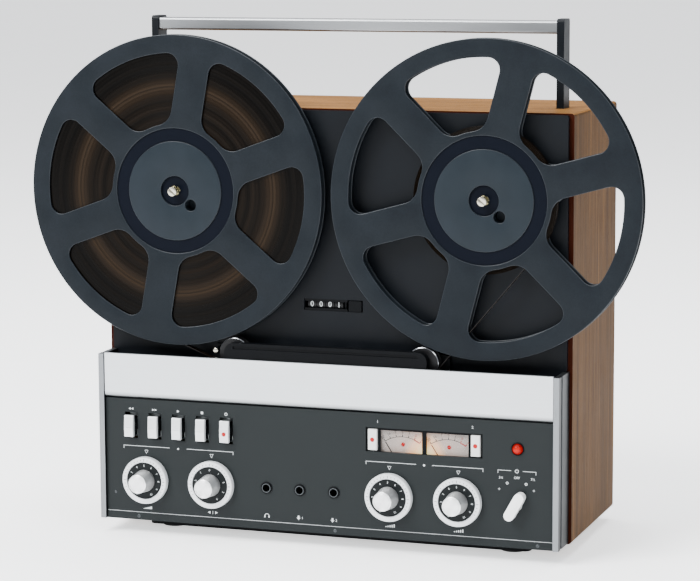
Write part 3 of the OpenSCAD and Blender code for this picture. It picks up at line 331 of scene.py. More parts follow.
class Graph:
    """The nodes of one material, with lengths in millimetres."""

    def __init__(self, name: str) -> None:
        """Starts a material with its plain shader.

        Args:
            name: Name of the material.
        """
        self.material = bpy.data.materials.new(name)
        self.material.use_nodes = True
        self.tree = self.material.node_tree
        self.shader = self.tree.nodes["Principled BSDF"]

    def add(self, kind: str, inputs: dict[str | int, object] | None = None,
            **settings: object) -> bpy.types.Node:
        """Adds a node.

        Args:
            kind: Blender's name of the node.
            inputs: Values or sockets for its inputs.
            settings: Values of its own settings.

        Returns:
            The node.
        """
        node = self.tree.nodes.new(kind)
        for key, value in settings.items():
            setattr(node, key, value)
        for key, value in (inputs or {}).items():
            self.feed(node.inputs[key], value)
        return node

    def feed(self, socket: Socket, value: object) -> None:
        """Joins a socket to another one, or sets its value."""
        if isinstance(value, Socket):
            self.tree.links.new(value, socket)
        else:
            socket.default_value = value

    def dress(self, **inputs: object) -> None:
        """Feeds the shader's own sockets; an underline in a name stands for a space."""
        for key, value in inputs.items():
            self.feed(self.shader.inputs[key.replace("_", " ")], value)

    def where(self, centre: Point = (0.0, 0.0)) -> Socket:
        """The place on the piece in millimetres, counted from an axis at (x, z)."""
        coordinates = self.add("ShaderNodeTexCoord").outputs["Object"]
        return self.add("ShaderNodeMapping", {"Vector": coordinates, "Scale": (1 / MM,) * 3,
                                              "Location": (-centre[0], 0, -centre[1])}).outputs["Vector"]

    def noise(self, vector: Socket, scale: Sequence[float], detail: float = 3.0, roughness: float = 0.55,
              distortion: float = 0.0) -> Socket:
        """Noise with a scale of its own along each axis, in turns to the millimetre."""
        spread = self.add("ShaderNodeMapping", {"Vector": vector, "Scale": tuple(scale)}).outputs["Vector"]
        inputs = {"Vector": spread, "Scale": 1.0, "Detail": detail, "Roughness": roughness,
                  "Distortion": distortion}
        return self.add("ShaderNodeTexNoise", inputs).outputs["Fac"]

    def ramp(self, value: Socket, stops: Sequence[tuple[float, Colour]]) -> Socket:
        """Turns a value into a colour by stops along the way."""
        node = self.add("ShaderNodeValToRGB", {"Fac": value})
        strip = node.color_ramp.elements
        while len(strip) < len(stops):
            strip.new(1.0)
        for mark, (at, colour) in zip(strip, stops):
            mark.position = at
            mark.color = (*colour, 1)
        return node.outputs["Color"]

    def span(self, value: Socket, lo: float, hi: float, low: float = 0.0, high: float = 1.0) -> Socket:
        """Maps a value from the range low to high onto the range lo to hi."""
        return self.add("ShaderNodeMapRange", {"Value": value, "From Min": low, "From Max": high,
                                               "To Min": lo, "To Max": hi}).outputs["Result"]

    def sums(self, operation: str, first: object, second: object = 0.0) -> Socket:
        """One sum on values."""
        return self.add("ShaderNodeMath", {0: first, 1: second}, operation=operation).outputs["Value"]

    def mix(self, share: object, first: object, second: object, blend: str = "MIX") -> Socket:
        """Mixes two colours."""
        node = self.add("ShaderNodeMix", data_type="RGBA", blend_type=blend)
        for key, value in ((0, share), (6, first), (7, second)):
            self.feed(node.inputs[key], (*value, 1) if isinstance(value, tuple) else value)
        return node.outputs[2]

    def grey(self, value: Socket) -> Socket:
        """A value as a grey."""
        parts = {"Red": value, "Green": value, "Blue": value}
        return self.add("ShaderNodeCombineColor", parts).outputs["Color"]

    def looks(self, axis: Axis, way: int = 0) -> Socket:
        """One where the surface looks along an axis, either way or only up or down it, and else zero."""
        normal = self.add("ShaderNodeNewGeometry").outputs["Normal"]
        part = self.add("ShaderNodeSeparateXYZ", {"Vector": normal}).outputs[axis.name]
        share = self.sums("MULTIPLY", part, way) if way else self.sums("ABSOLUTE", part)
        return self.sums("GREATER_THAN", share, 0.6)

    def lathe(self, amount: float) -> None:
        """Draws the gloss out across fine rings about an upright face's own axis."""
        around = self.add("ShaderNodeTangent", direction_type="RADIAL", axis="Y").outputs["Tangent"]
        self.dress(Anisotropic=amount, Anisotropic_Rotation=0.25, Tangent=around)

    def radius(self, vector: Socket) -> Socket:
        """Distance from the axis along Y."""
        parts = self.add("ShaderNodeSeparateXYZ", {"Vector": vector}).outputs
        squares = [self.sums("MULTIPLY", parts[k], parts[k]) for k in ("X", "Z")]
        return self.sums("SQRT", self.sums("ADD", *squares))

    def bump(self, height: Socket, depth: float, strength: float = 1.0) -> None:
        """Roughens the surface by a height, with its depth in millimetres."""
        node = self.add("ShaderNodeBump", {"Height": height, "Distance": depth * MM, "Strength": strength})
        self.dress(Normal=node.outputs["Normal"])


MADE: dict[str, bpy.types.Material] = {}


@dataclass(frozen=True)
class Finish:
    """A finish that pieces share: its name, its slot in the record and its main colour."""

    name: str
    slot: str
    colour: str
    rough: float = 0.4

    def material(self) -> bpy.types.Material:
        """The finish's material, made once."""
        if self.name not in MADE:
            graph = Graph(self.name)
            self.paint(graph)
            MADE[self.name] = graph.material
        return MADE[self.name]

    def paint(self, graph: Graph) -> None:
        """Builds the nodes; each kind of finish has its own."""
        raise NotImplementedError

    def tone(self, share: float) -> Colour:
        """The main colour made lighter or darker."""
        red, green, blue = (min(1.0, c * share) for c in shade(self.colour))
        return red, green, blue

    def vary(self, graph: Graph, noise: Socket, low: float, high: float) -> Socket:
        """The main colour, which goes from one share of itself to another along a noise."""
        return graph.ramp(noise, ((NOISE[0], self.tone(low)), (NOISE[1], self.tone(high))))

    def gloss(self, graph: Graph, noise: Socket, less: float, more: float) -> Socket:
        """The roughness, which goes from less to more along a noise."""
        return graph.span(noise, self.rough - less, self.rough + more, *NOISE)


@dataclass(frozen=True)
class Satin(Finish):
    """Lacquer, moulded plastic or rubber: cloudy colour with a fine skin."""

    mottle: float = 0.08
    cloud: float = 14.0
    skin: float = 0.35
    depth: float = 0.02
    metal: float = 0.0
    coat: float = 0.0
    shine: float = 0.5

    def paint(self, graph: Graph) -> None:
        """Clouds the colour, varies the gloss and raises the skin."""
        place = graph.where()
        clouds = graph.noise(place, (1 / self.cloud,) * 3, detail=4)
        skin = graph.noise(place, (1 / self.skin,) * 3, detail=2)
        low, high = 1 - self.mottle, 1 + self.mottle
        speck = graph.grey(graph.span(skin, low, high, *NOISE))
        colour = graph.mix(1.0, self.vary(graph, clouds, low, high), speck, "MULTIPLY")
        graph.dress(Base_Color=colour, Roughness=self.gloss(graph, clouds, 0.05, 0.05), Metallic=self.metal,
                    Coat_Weight=self.coat, Specular_IOR_Level=self.shine)
        graph.bump(skin, self.depth)


@dataclass(frozen=True)
class Brushed(Finish):
    """Metal with fine strokes along one direction."""

    along: Axis = Axis.X
    stroke: float = 60.0
    fine: float = 0.25
    depth: float = 0.006
    contrast: float = 0.05
    # Share of the colour on faces that look along X: painted shade on the sides.
    flank_shade: float = 1.0
    rim: float = 1.0
    # Heights over which a rolled lower edge darkens: a painted shade band.
    roll: Point = (0.0, 0.0)

    def paint(self, graph: Graph) -> None:
        """Streaks colour, gloss and height; the sides get painted shade, and a rolled lower edge may get a
        painted shade band.
        """
        place = graph.where()
        scale = self.along.stretch(1 / self.stroke, 1 / self.fine)
        strokes = graph.noise(place, scale, detail=4, roughness=0.7)
        wear = graph.noise(place, (0.02, 0.02, 0.02), detail=3)
        front, side = (self.vary(graph, strokes, share - self.contrast, share + self.contrast)
                       for share in (1.0, self.flank_shade))
        # Faces that look along X take the darker side colour: painted shade.
        colour = graph.mix(graph.looks(Axis.X), front, side)
        # Darkens the colour towards the lower edge between these heights: a painted shade band on the rolled
        # edge.
        if self.roll[1]:
            height = graph.add("ShaderNodeSeparateXYZ", {"Vector": place}).outputs["Z"]
            colour = graph.mix(1.0, colour, graph.grey(graph.span(height, 0.06, 1.0, *self.roll)), "MULTIPLY")
        worn = graph.span(wear, -0.04, 0.04, *NOISE)
        rough = graph.sums("ADD", self.gloss(graph, strokes, 0.06, 0.06), worn)
        graph.dress(Base_Color=colour, Roughness=rough, Metallic=1.0, Specular_Tint=(self.rim,) * 3 + (1,))
        graph.bump(strokes, self.depth)


@dataclass(frozen=True)
class Spun(Finish):
    """Metal turned on a lathe, with fine rings about its axis."""

    centre: Point = (0.0, 0.0)
    ring: float = 0.12
    depth: float = 0.01
    draw: float = 0.75
    # Share of the colour on faces that don't look along the axis: painted shade on the knob's flank.
    flank_shade: float = 0.62

    def paint(self, graph: Graph) -> None:
        """Rings of colour, gloss and height by the distance from the axis, with painted shade on the flank.
        """
        radius = graph.radius(graph.where(self.centre))
        line = graph.add("ShaderNodeCombineXYZ", {"X": radius}).outputs["Vector"]
        rings = graph.noise(line, (1 / self.ring, 1, 1), detail=3, roughness=0.7)
        front, side = (self.vary(graph, rings, 0.94 * share, 1.05 * share) for share in (1.0, self.flank_shade))
        graph.dress(Base_Color=graph.mix(graph.looks(Axis.Y), side, front), Metallic=1.0,
                    Roughness=self.gloss(graph, rings, 0.06, 0.06))
        graph.lathe(self.draw)
        graph.bump(rings, self.depth)


@dataclass(frozen=True)
class Veneer(Finish):
    """Open-grained veneer, upright on the sides and lengthwise on the top."""

    dark: str = "#2d1d0f"
    light: str = "#6b4c28"
    lipping: str = "#2c1007"
    # How much paler faces that look up become: a painted highlight on the top.
    top_light: float = 2.6
    across: float = 5.0
    along: float = 190.0

    def paint(self, graph: Graph) -> None:
        """Lays bands, fibres and pores by the way a board faces; the front edge takes the darker lipping, and
        the top gets a painted highlight.
        """
        parts = graph.add("ShaderNodeSeparateXYZ", {"Vector": graph.where()}).outputs
        upright, flat = (
            graph.add("ShaderNodeCombineXYZ", {k: parts[way] for k, way in enumerate(ways)}).outputs["Vector"]
            for ways in ("YXZ", "YZX"))
        choice = graph.add("ShaderNodeMix", data_type="VECTOR")
        for key, value in ((0, graph.looks(Axis.Z)), (4, upright), (5, flat)):
            graph.feed(choice.inputs[key], value)
        grain = choice.outputs[1]
        quick, slow = 1 / self.across, 1 / self.along
        bands = graph.noise(grain, (quick, quick, slow), detail=6, roughness=0.62, distortion=0.5)
        fibres = graph.noise(grain, (8 * quick, 8 * quick, 4 * slow), detail=3, roughness=0.7)
        pores = graph.noise(grain, (14 * quick, 14 * quick, 14 * slow), detail=1)
        ground = graph.ramp(bands, ((0.28, shade(self.dark)), (0.45, self.tone(0.86)), (0.56, self.tone(1.1)),
                                    (0.74, shade(self.light))))
        streaked = graph.mix(graph.span(fibres, 0.0, 0.4, 0.4, 0.75), ground, self.tone(0.62))
        pitted = graph.mix(graph.span(pores, 0.0, 0.55, 0.62, 0.72), streaked, shade(self.dark))
        # Faces that look up are made paler: a painted highlight on the top.
        top_lit = graph.grey(graph.span(graph.looks(Axis.Z, 1), 1.0, self.top_light))
        top_lit_colour = graph.mix(1.0, pitted, top_lit, "MULTIPLY")
        colour = graph.mix(graph.looks(Axis.Y, -1), top_lit_colour, shade(self.lipping))
        rough = self.gloss(graph, fibres, 0.08, 0.1)
        graph.dress(Base_Color=colour, Roughness=rough, Specular_IOR_Level=0.02)
        graph.bump(graph.sums("SUBTRACT", fibres, graph.span(pores, 0.0, 1.5, 0.6, 0.72)), 0.06)


@dataclass(frozen=True)
class Wound(Finish):
    """The edges of wound tape: fine turns, with painted sheen in brighter and darker zones."""

    centre: Point = (0.0, 0.0)
    inner: float = 57.0
    outer: float = 120.0
    shine: float = 0.05
    # Brightness of the tape at each place from the hub outwards: painted sheen zones.
    sheen_zones: tuple[tuple[float, float], ...] = ((0.0, 0.7), (0.3, 0.4), (0.42, 1.0), (0.52, 2.4), (0.6, 0.8),
                                              (0.7, 0.2), (1.0, 0.12))

    def paint(self, graph: Graph) -> None:
        """Painted sheen in zones and fine bands by the distance from the reel's axis; the bands also roughen
        and raise the surface.
        """
        radius = graph.radius(graph.where(self.centre))
        line = graph.add("ShaderNodeCombineXYZ", {"X": radius}).outputs["Vector"]
        broad = graph.noise(line, (0.16, 1, 1), detail=2, roughness=0.6)
        fine = graph.noise(line, (1.6, 1, 1), detail=3, roughness=0.75)
        bands = graph.sums("ADD", graph.sums("MULTIPLY", broad, 0.6), graph.sums("MULTIPLY", fine, 0.4))
        place = graph.span(radius, 0.0, 1.0, self.inner, self.outer)
        ground = graph.ramp(place, [(at, self.tone(level)) for at, level in self.sheen_zones])
        # The fine bands brighten and darken the colour: painted sheen along the turns.
        sheen_lines = graph.grey(graph.span(bands, 0.05, 2.6, 0.37, 0.63))
        graph.dress(Base_Color=graph.mix(1.0, ground, sheen_lines, "MULTIPLY"), Specular_IOR_Level=self.shine,
                    Roughness=graph.span(bands, self.rough + 0.12, self.rough - 0.1, 0.35, 0.65))
        graph.lathe(0.8)
        graph.bump(bands, 0.05)


@dataclass(frozen=True)
class Jewel(Finish):
    """A glowing lens: hot in the middle and deep red at the rim."""

    centre: Point = (0.0, 0.0)
    reach: float = 4.5
    power: float = 1.0

    def paint(self, graph: Graph) -> None:
        """Fades the glow from the middle and ripples the moulded lens."""
        place = graph.where(self.centre)
        radius = graph.radius(place)
        facets = graph.noise(place, (0.55,) * 3, detail=1)
        heat = graph.sums("ADD", graph.sums("DIVIDE", radius, self.reach), graph.span(facets, -0.35, 0.35))
        glow = graph.ramp(heat, ((0.05, shade("#ff3008")), (0.3, shade("#ff0600")), (0.95, shade("#8c0200"))))
        colour = graph.ramp(heat, ((0.0, self.tone(1.0)), (1.0, self.tone(0.5))))
        graph.dress(Base_Color=colour, Roughness=self.rough, Emission_Color=glow,
                    Emission_Strength=self.power, Specular_IOR_Level=0.12)
        graph.bump(facets, 0.4, 0.5)


@dataclass(frozen=True)
class LitPaper(Finish):
    """A printed meter face, lit by a small bulb behind its lower inner corner."""

    lamp: Point = (0.0, 0.0)
    reach: float = 46.0
    power: float = 1.5

    def paint(self, graph: Graph) -> None:
        """Warms the paper towards the bulb."""
        place = graph.where(self.lamp)
        away = graph.sums("DIVIDE", graph.radius(place), self.reach)
        fibre = graph.noise(place, (2.5,) * 3, detail=3)
        paper = self.vary(graph, fibre, 0.93, 1.03)
        glow = graph.ramp(away, ((0.03, shade("#fff0a8")), (0.2, shade("#ffb050")), (0.4, shade("#6a4630")),
                                 (0.8, shade("#1c1412"))))
        graph.dress(Base_Color=paper, Roughness=self.rough, Emission_Color=glow, Emission_Strength=self.power)
        graph.bump(fibre, 0.01)


@dataclass(frozen=True)
class Pane(Finish):
    """A thin clear cover that mostly lets through what lies behind."""

    clear: float = 0.05

    def paint(self, graph: Graph) -> None:
        """Keeps a faint gloss with a trace of dust."""
        dust = graph.noise(graph.where(), (0.3,) * 3, detail=4)
        graph.dress(Base_Color=self.vary(graph, dust, 0.95, 1.0), Alpha=self.clear,
                    Roughness=graph.span(dust, self.rough, self.rough + 0.06, 0.3, 0.8))


WALNUT = Veneer("walnut", "walnut", "#4e351a", rough=0.5)
BLACK_PLASTIC = Satin("black_plastic", "black_plastic", "#060709", rough=0.38, mottle=0.06, shine=0.06)
FOOT_RUBBER = Satin("foot_rubber", "foot_rubber", "#131313", rough=0.8, skin=0.6, depth=0.05)
REAR_GREY = Satin("rear_grey", "rear_grey", "#4d5052", rough=0.5, skin=0.5)
SOCKET_METAL = Satin("socket_metal", "socket_metal", "#b9b6ac", rough=0.3, metal=1.0, mottle=0.05, cloud=6)
DECK_BLACK = Satin("deck_black", "deck_black", "#090c10", rough=0.42, mottle=0.06, skin=0.4, shine=0.1)
PANEL_GREY = Satin("panel_grey", "panel_grey", "#181c1d", rough=0.42, mottle=0.05, cloud=60, skin=0.4,
                   depth=0.012, shine=0.12)
# The trims' sides take a third of the colour: painted shade on the sides.
TRIM = Brushed("bright_trim", "bright_trim", "#7b7e81", rough=0.34, along=Axis.Z, flank_shade=0.3, rim=0.6)
# The flap darkens towards its rolled lower edge: a painted shade band.
FLAP = Brushed("brushed_flap", "bright_trim", "#d0d4d7", rough=0.42, stroke=90, roll=(119.6, 124.2))
BAR = Brushed("brushed_bar", "bright_trim", "#8d8f91", rough=0.36, stroke=160, depth=0.001, contrast=0.02)
ZINC = Satin("zinc_sheet", "zinc_sheet", "#8b8f90", rough=0.45, metal=1.0, mottle=0.12, cloud=9)
SILVER_KEY = Satin("silver_key", "silver_key", "#d7dadb", rough=0.36, metal=0.35, mottle=0.05, cloud=4,
                   skin=0.25)
RING_WHITE = Satin("ring_white", "ring_white", "#d9dcde", rough=0.34, metal=0.3, mottle=0.03, cloud=8)
LEVER_WHITE = Satin("lever_white", "lever_white", "#eceeed", rough=0.32, mottle=0.03, coat=0.3)
PRESET_WHITE = Satin("preset_white", "preset_white", "#d5d6d3", rough=0.35, mottle=0.04, coat=0.2)
NEEDLE_BLACK = Satin("needle_black", "needle_black", "#0c0c0c", rough=0.4, shine=0.2)
WHEEL_BLACK = Satin("wheel_black", "wheel_black", "#0a0a0c", rough=0.42, shine=0.2)
CAST_BLOCK = Satin("cast_block", "cast_block", "#0b0d0f", rough=0.5, mottle=0.14, cloud=5, shine=0.1)
HEAD_METAL = Satin("head_metal", "head_metal", "#a7a9ab", rough=0.24, metal=1.0, mottle=0.06, cloud=5)
TAPE_STRAND = Satin("tape_ribbon", "tape_brown", "#140e0a", rough=0.3, mottle=0.1, cloud=20, shine=0.25)
STEEL = Satin("polished_steel", "polished_steel", "#8f9194", rough=0.18, metal=1.0, mottle=0.05, depth=0.002)
SPOOL = Satin("spool_slate", "spool_slate", "#14181c", rough=0.42, mottle=0.14, cloud=25, skin=1.1,
              shine=0.06)
# Finish of the spools' rounded edges: glossier, which is real, and a little lighter than the spool, which is
# a painted highlight.
SPOOL_EDGE_HIGHLIGHT = Satin("spool_edge", "spool_slate", "#181d22", rough=0.3, mottle=0.1, cloud=25, skin=0.5,
                   shine=0.22)
HUB = Satin("hub_slate", "hub_slate", "#191f24", rough=0.36, mottle=0.08, cloud=18, skin=0.5, shine=0.08)
ARM_BLACK = Satin("arm_black", "arm_black", "#0d1014", rough=0.42, mottle=0.08, shine=0.1)
MOTOR_STEEL = Satin("motor_steel", "motor_steel", "#6f7375", rough=0.4, metal=1.0, mottle=0.1)
CORE_BROWN = Satin("core_brown", "core_brown", "#4a3a2e", rough=0.6, mottle=0.15, cloud=4)
BOARD_GREEN = Satin("board_green", "board_green", "#35503a", rough=0.5, mottle=0.15, cloud=6)
FACES = LitPaper("meter_ivory", "meter_ivory", "#948c86", rough=0.55, lamp=(88.3, 85.0))
WINDOW = Pane("clear_pane", "clear_pane", "#1a1c1e", rough=0.06)
WHITE_INK = Satin("white_ink", "preset_white", "#cfd4d5", rough=0.6, mottle=0.05, cloud=3)
BLACK_INK = Satin("black_ink", "needle_black", "#0c0d10", rough=0.6, mottle=0.05, cloud=3, shine=0.2)
RED_INK = Satin("red_ink", "lamp_red", "#98070b", rough=0.5, mottle=0.05, cloud=3, shine=0.2)
DARK_DISC = Satin("dark_disc", "wheel_black", "#111415", rough=0.4, mottle=0.05, cloud=10, shine=0.1)
# Dark sheets on the recess floors of the spools: painted shade.
RECESS_SHADE = Satin("hub_recess_shade", "spool_slate", "#060911", rough=0.42, mottle=0.06, cloud=20, shine=0.04)
NICKEL = Satin("nickel", "polished_steel", "#b9b4a4", rough=0.2, metal=1.0, mottle=0.05, cloud=4, depth=0.004)
BRASS = Satin("brass", "polished_steel", "#8d8666", rough=0.26, metal=1.0, mottle=0.08, cloud=3, depth=0.004)
DARK_SCREW = Satin("dark_screw", "head_metal", "#45484a", rough=0.34, metal=1.0, mottle=0.1, cloud=2)
LAMP = Jewel("lamp_red", "lamp_red", "#5a0400", rough=0.15, centre=LAMP_AT)
FLOOR = Satin("floor", "preset_white", "#f4f5f6", rough=0.7, mottle=0.01, cloud=400, skin=3,
              depth=0.0, shine=0.1)

DRESS: dict[Finish, tuple[str, ...]] = {
    WALNUT: ("wood_cabinet",),
    BLACK_PLASTIC: ("base_plinth", "jack_sockets", "meter_bezel", "counter_frame", "head_cover",
                    "reset_button"),
    FOOT_RUBBER: ("rubber_feet", "pinch_roller"),
    REAR_GREY: ("rear_panel",),
    SOCKET_METAL: ("rear_sockets",),
    DECK_BLACK: ("deck_plate",),
    PANEL_GREY: ("control_panel",),
    TRIM: ("side_trims",),
    FLAP: ("head_flap",),
    BAR: ("handle_bar",),
    ZINC: ("housing_shell", "potentiometers"),
    CORE_BROWN: ("power_transformer",),
    SILVER_KEY: ("rewind_key", "forward_key", "play_key", "stop_key", "record_key"),
    RING_WHITE: ("volume_ring", "balance_ring", "left_level_ring", "right_level_ring"),
    DARK_DISC: ("volume_dial", "balance_dial", "left_level_dial", "right_level_dial"),
    LEVER_WHITE: ("power_lever",),
    LAMP: ("lamp_jewel",),
    WINDOW: ("meter_window",),
    FACES: ("meter_faces",),
    NEEDLE_BLACK: ("left_needle", "right_needle"),
    PRESET_WHITE: ("left_preset_key", "right_preset_key"),
    WHEEL_BLACK: ("thousands_wheel", "hundreds_wheel", "tens_wheel", "units_wheel"),
    CAST_BLOCK: ("head_block", "pinch_arm"),
    HEAD_METAL: ("tape_heads",),
    TAPE_STRAND: ("tape_strand", "supply_tape", "takeup_tape"),
    STEEL: ("left_guide_roller", "right_guide_roller", "capstan", "supply_turntable", "takeup_turntable"),
    SPOOL: ("supply_spool", "takeup_spool"),
    ARM_BLACK: ("handle_arms",),
    MOTOR_STEEL: ("drive_motors",),
    BOARD_GREEN: ("circuit_boards",),
}


def dress_nodes() -> None:
    """Gives every CAD node its finish; nodes that a piece replaces are hidden later."""
    for finish, nodes in DRESS.items():
        for node in nodes:
            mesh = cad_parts[node].data
            mesh.materials.clear()
            mesh.materials.append(finish.material())


@dataclass
class Reel:
    """A spool with its adapter, wound tape and turntable; profiles count y from the spool's front."""

    side: str
    axis: Point
    turn: float
    pack: float
    front: float = -69.9
    rim: float = 132.5
    flange: float = 2.0
    gap: float = 7.0
    hub: float = 57.0
    inner: float = 57.5
    outer: float = 117.0
    spoke: float = 28.0
    wide: float = 10.0
    tight: float = 15.0
    bore: float = 53.4
    socket: float = 38.4
    sink: float = 1.2
    plug: float = 42.3
    well: float = 12.7
    well_sink: float = 2.4
    spindle: float = 4.2
    finger: float = 5.0
    finger_at: float = 18.6
    length: float = 10.8
    rounding: float = 0.5
    tape_middle: float = 5.5
    tape_half: float = 3.15
    ripple: tuple[tuple[float, float, float], ...] = ((0.06, 2.1, 0), (0.05, 0.7, 1))
    lobe_at: float = 2.64
    lobe: Outline = ((0, -4), (1.5, -4), (1.92, -3.5), (1.92, -2.3), (1.6, -2), (1.6, -1.5), (1.92, -1.2),
                     (1.92, 1.9))
    collar: Outline = ((0, 2), (3.6, 2), (4, 2.4), (4, 11.9))
    crown: Outline = ((0, -4.8), (3.9, -4.8), (3.9, -4.1), (3, -3.3), (2.4, -2.7), (2.4, 2))
    table: Outline = ((0, 11), (47.4, 11), (48, 11.6), (48, 13.4), (47.4, 14), (12, 14), (12, 20), (4, 20))

    @property
    def body(self) -> str:
        """CAD body that turns."""
        return f"{self.side}_reel"

    @property
    def centre(self) -> Vector:
        """A point of the axis."""
        return Vector((self.axis[0], 0, self.axis[1]))

    def profile(self, points: Outline) -> list[Point]:
        """A turned profile brought to the spool's front."""
        return [(radius, self.front + y) for radius, y in points]

    def window(self, k: int) -> list[Point]:
        """The outline of one window, with sides parallel to its spokes and round corners.

        Args:
            k: Number of the window.

        Returns:
            Points as (x, z).
        """
        far, near = self.outer - self.wide, self.inner + self.tight
        open_far = 30 - math.degrees(math.asin((self.spoke / 2 + self.wide) / far))
        open_near = 30 - math.degrees(math.asin((self.spoke / 2 + self.tight) / near))
        half = arc(polar(near, open_near), self.tight, open_near + 180, 120, 10)
        half += arc(polar(far, open_far), self.wide, 120, open_far, 10)
        half += [polar(self.outer, open_far * (1 - i / 8)) for i in range(1, 8)]
        mirror = [(x, -z) for x, z in reversed(half)]
        ring = half + [(self.outer, 0.0)] + mirror + [(self.inner, 0.0)]
        swing = self.turn + 60 * k
        return [polar(math.hypot(x, z), math.degrees(math.atan2(z, x)) + swing, self.axis) for x, z in ring]

    def build(self) -> None:
        """Builds the reel from its flanges to its tip."""
        self.spool()
        self.adapter()
        self.tape()
        self.tip()

    def spool(self) -> None:
        """Two windowed flanges on a hub, with softly rounded edges."""
        piece = Piece(f"{self.side}_flanges")
        windows = [self.window(k) for k in range(6)]
        edge = circle(self.axis, self.rim, 180)
        bore = circle(self.axis, self.bore, 96)
        back = self.front + self.flange + self.gap
        end = back + self.flange
        for start in (self.front, back):
            piece.plate(edge, start, start + self.flange, [*windows, bore])
        piece.soften(self.rounding, 3, 50, mark=True)
        step = self.front + self.sink
        ring = [(self.bore, step), (self.socket, step), (self.socket, end), (self.bore, end)]
        piece.turn(ring, self.centre)
        piece.turn([(self.hub, self.front + self.flange), (self.hub, back)], self.centre)
        piece.place(self.body, SPOOL, [f"{self.side}_spool"], edges=SPOOL_EDGE_HIGHLIGHT)
        # A dark sheet on the recessed step: painted shade in the hub's recess.
        shade_ring = Piece(f"{self.side}_hub_recess_shade")
        shade_ring.turn([(self.bore - 0.2, step - SHADE_OFFSET), (self.plug + 0.3, step - SHADE_OFFSET)], self.centre)
        shade_ring.place(self.body, RECESS_SHADE)

    def adapter(self) -> None:
        """The plug that takes the spool's wide hole down to the spindle."""
        piece = Piece(f"{self.side}_adapter")
        rounding, plug = 0.4, self.socket - 0.2
        lip, seat = self.front + rounding, self.front + self.sink
        floor, back = self.front + self.well_sink, self.front + self.length
        finger = polar(self.finger_at, self.turn - 30, self.axis)
        piece.plate(circle(self.axis, self.plug, 120), self.front, seat,
                    [circle(self.axis, self.well, 64), circle(finger, self.finger, 32)])
        piece.soften(rounding, 3, 50, mark=True)
        piece.turn([(self.well, lip), (self.well, floor), (self.spindle, floor), (self.spindle, back)],
                   self.centre, 64)
        piece.turn([(self.finger, lip), (self.finger, back)], Vector((finger[0], 0, finger[1])), 32)
        piece.turn([(self.finger, back), (plug, back), (plug, seat)], self.centre, 96)
        piece.place(self.body, HUB, edges=SPOOL_EDGE_HIGHLIGHT)
        # A dark sheet on the well's floor: painted shade in the well.
        well = Piece(f"{self.side}_well")
        well.turn([(self.well - 0.1, floor - SHADE_OFFSET), (self.spindle + 0.1, floor - SHADE_OFFSET)], self.centre, 64)
        well.place(self.body, RECESS_SHADE)

    def tape(self) -> None:
        """The wound tape, with turns that stand a little proud of each other."""
        middle = self.front + self.tape_middle
        near, far, outer = middle - self.tape_half, middle + self.tape_half, self.pack
        steps = 60
        rows = [(self.hub + (outer - self.hub) * i / steps,
                 near + sum(high * math.sin(quick * i + shift) for high, quick, shift in self.ripple))
                for i in range(steps + 1)]
        piece = Piece(f"{self.side}_pack")
        piece.turn([*rows, (outer, far), (self.hub, far)], self.centre, 128, closed=True)
        wound = Wound(f"{self.side}_wound", "tape_brown", "#0e0905", rough=0.26, centre=self.axis)
        piece.place(self.body, wound, [f"{self.side}_tape"])

    def tip(self) -> None:
        """The turntable under the spool and the three-lobed, slotted tip of its spindle."""
        table = Piece(f"{self.side}_table")
        shaft, end = self.table[-1][0], Box.of(f"{self.side}_turntable").hi.y
        table.turn([*self.profile(self.table), (shaft, end), (0, end)], self.centre)
        table.place(self.body, STEEL, [f"{self.side}_turntable"])
        lobes = Piece(f"{self.side}_lobes")
        for angle in (90, 210, 330):
            x, z = polar(self.lobe_at, angle, self.axis)
            lobes.turn(self.profile(self.lobe), Vector((x, 0, z)), 24)
        lobes.turn(self.profile(self.collar), self.centre, 32)
        lobes.place(self.body, BRASS)
        crown = Piece(f"{self.side}_tip")
        radius, top, slot = self.crown[1][0], self.front - 6, 1.3
        for start in (-32, 148):
            crown.plate(arc(self.axis, radius, start, start + 158, 14), top, top + slot)
        crown.soften(0.2, 2, 50)
        crown.turn(self.profile(self.crown), self.centre, 32)
        crown.place(self.body, NICKEL)


def deep(depth: float) -> float:
    """The y of a depth behind the housing's front plane."""
    return depth - ORIGIN_DEPTH


def sunk(profile: Outline) -> list[Point]:
    """A turned profile, or an outline along the depth, with its depths brought to y."""
    return [(radius, deep(depth)) for radius, depth in profile]


def facing(x: float, y: float, z: float, spin: float = 0.0) -> Matrix:
    """Takes flat figures to an upright face that looks forward.

    Args:
        x: Place across.
        y: Place of the face.
        z: Place upwards.
        spin: Turn on the face in degrees, clockwise seen from the front.

    Returns:
        The matrix.
    """
    upright = Matrix.Rotation(math.radians(90), 4, "X")
    return Matrix.Translation((x, y, z)) @ Matrix.Rotation(math.radians(spin), 4, "Y") @ upright


def ahead_of(depth: float) -> Callable[[BMEdge], bool]:
    """A test for edges that lie in front of a depth."""
    return lambda edge: all(v.co.y < deep(depth) for v in edge.verts)


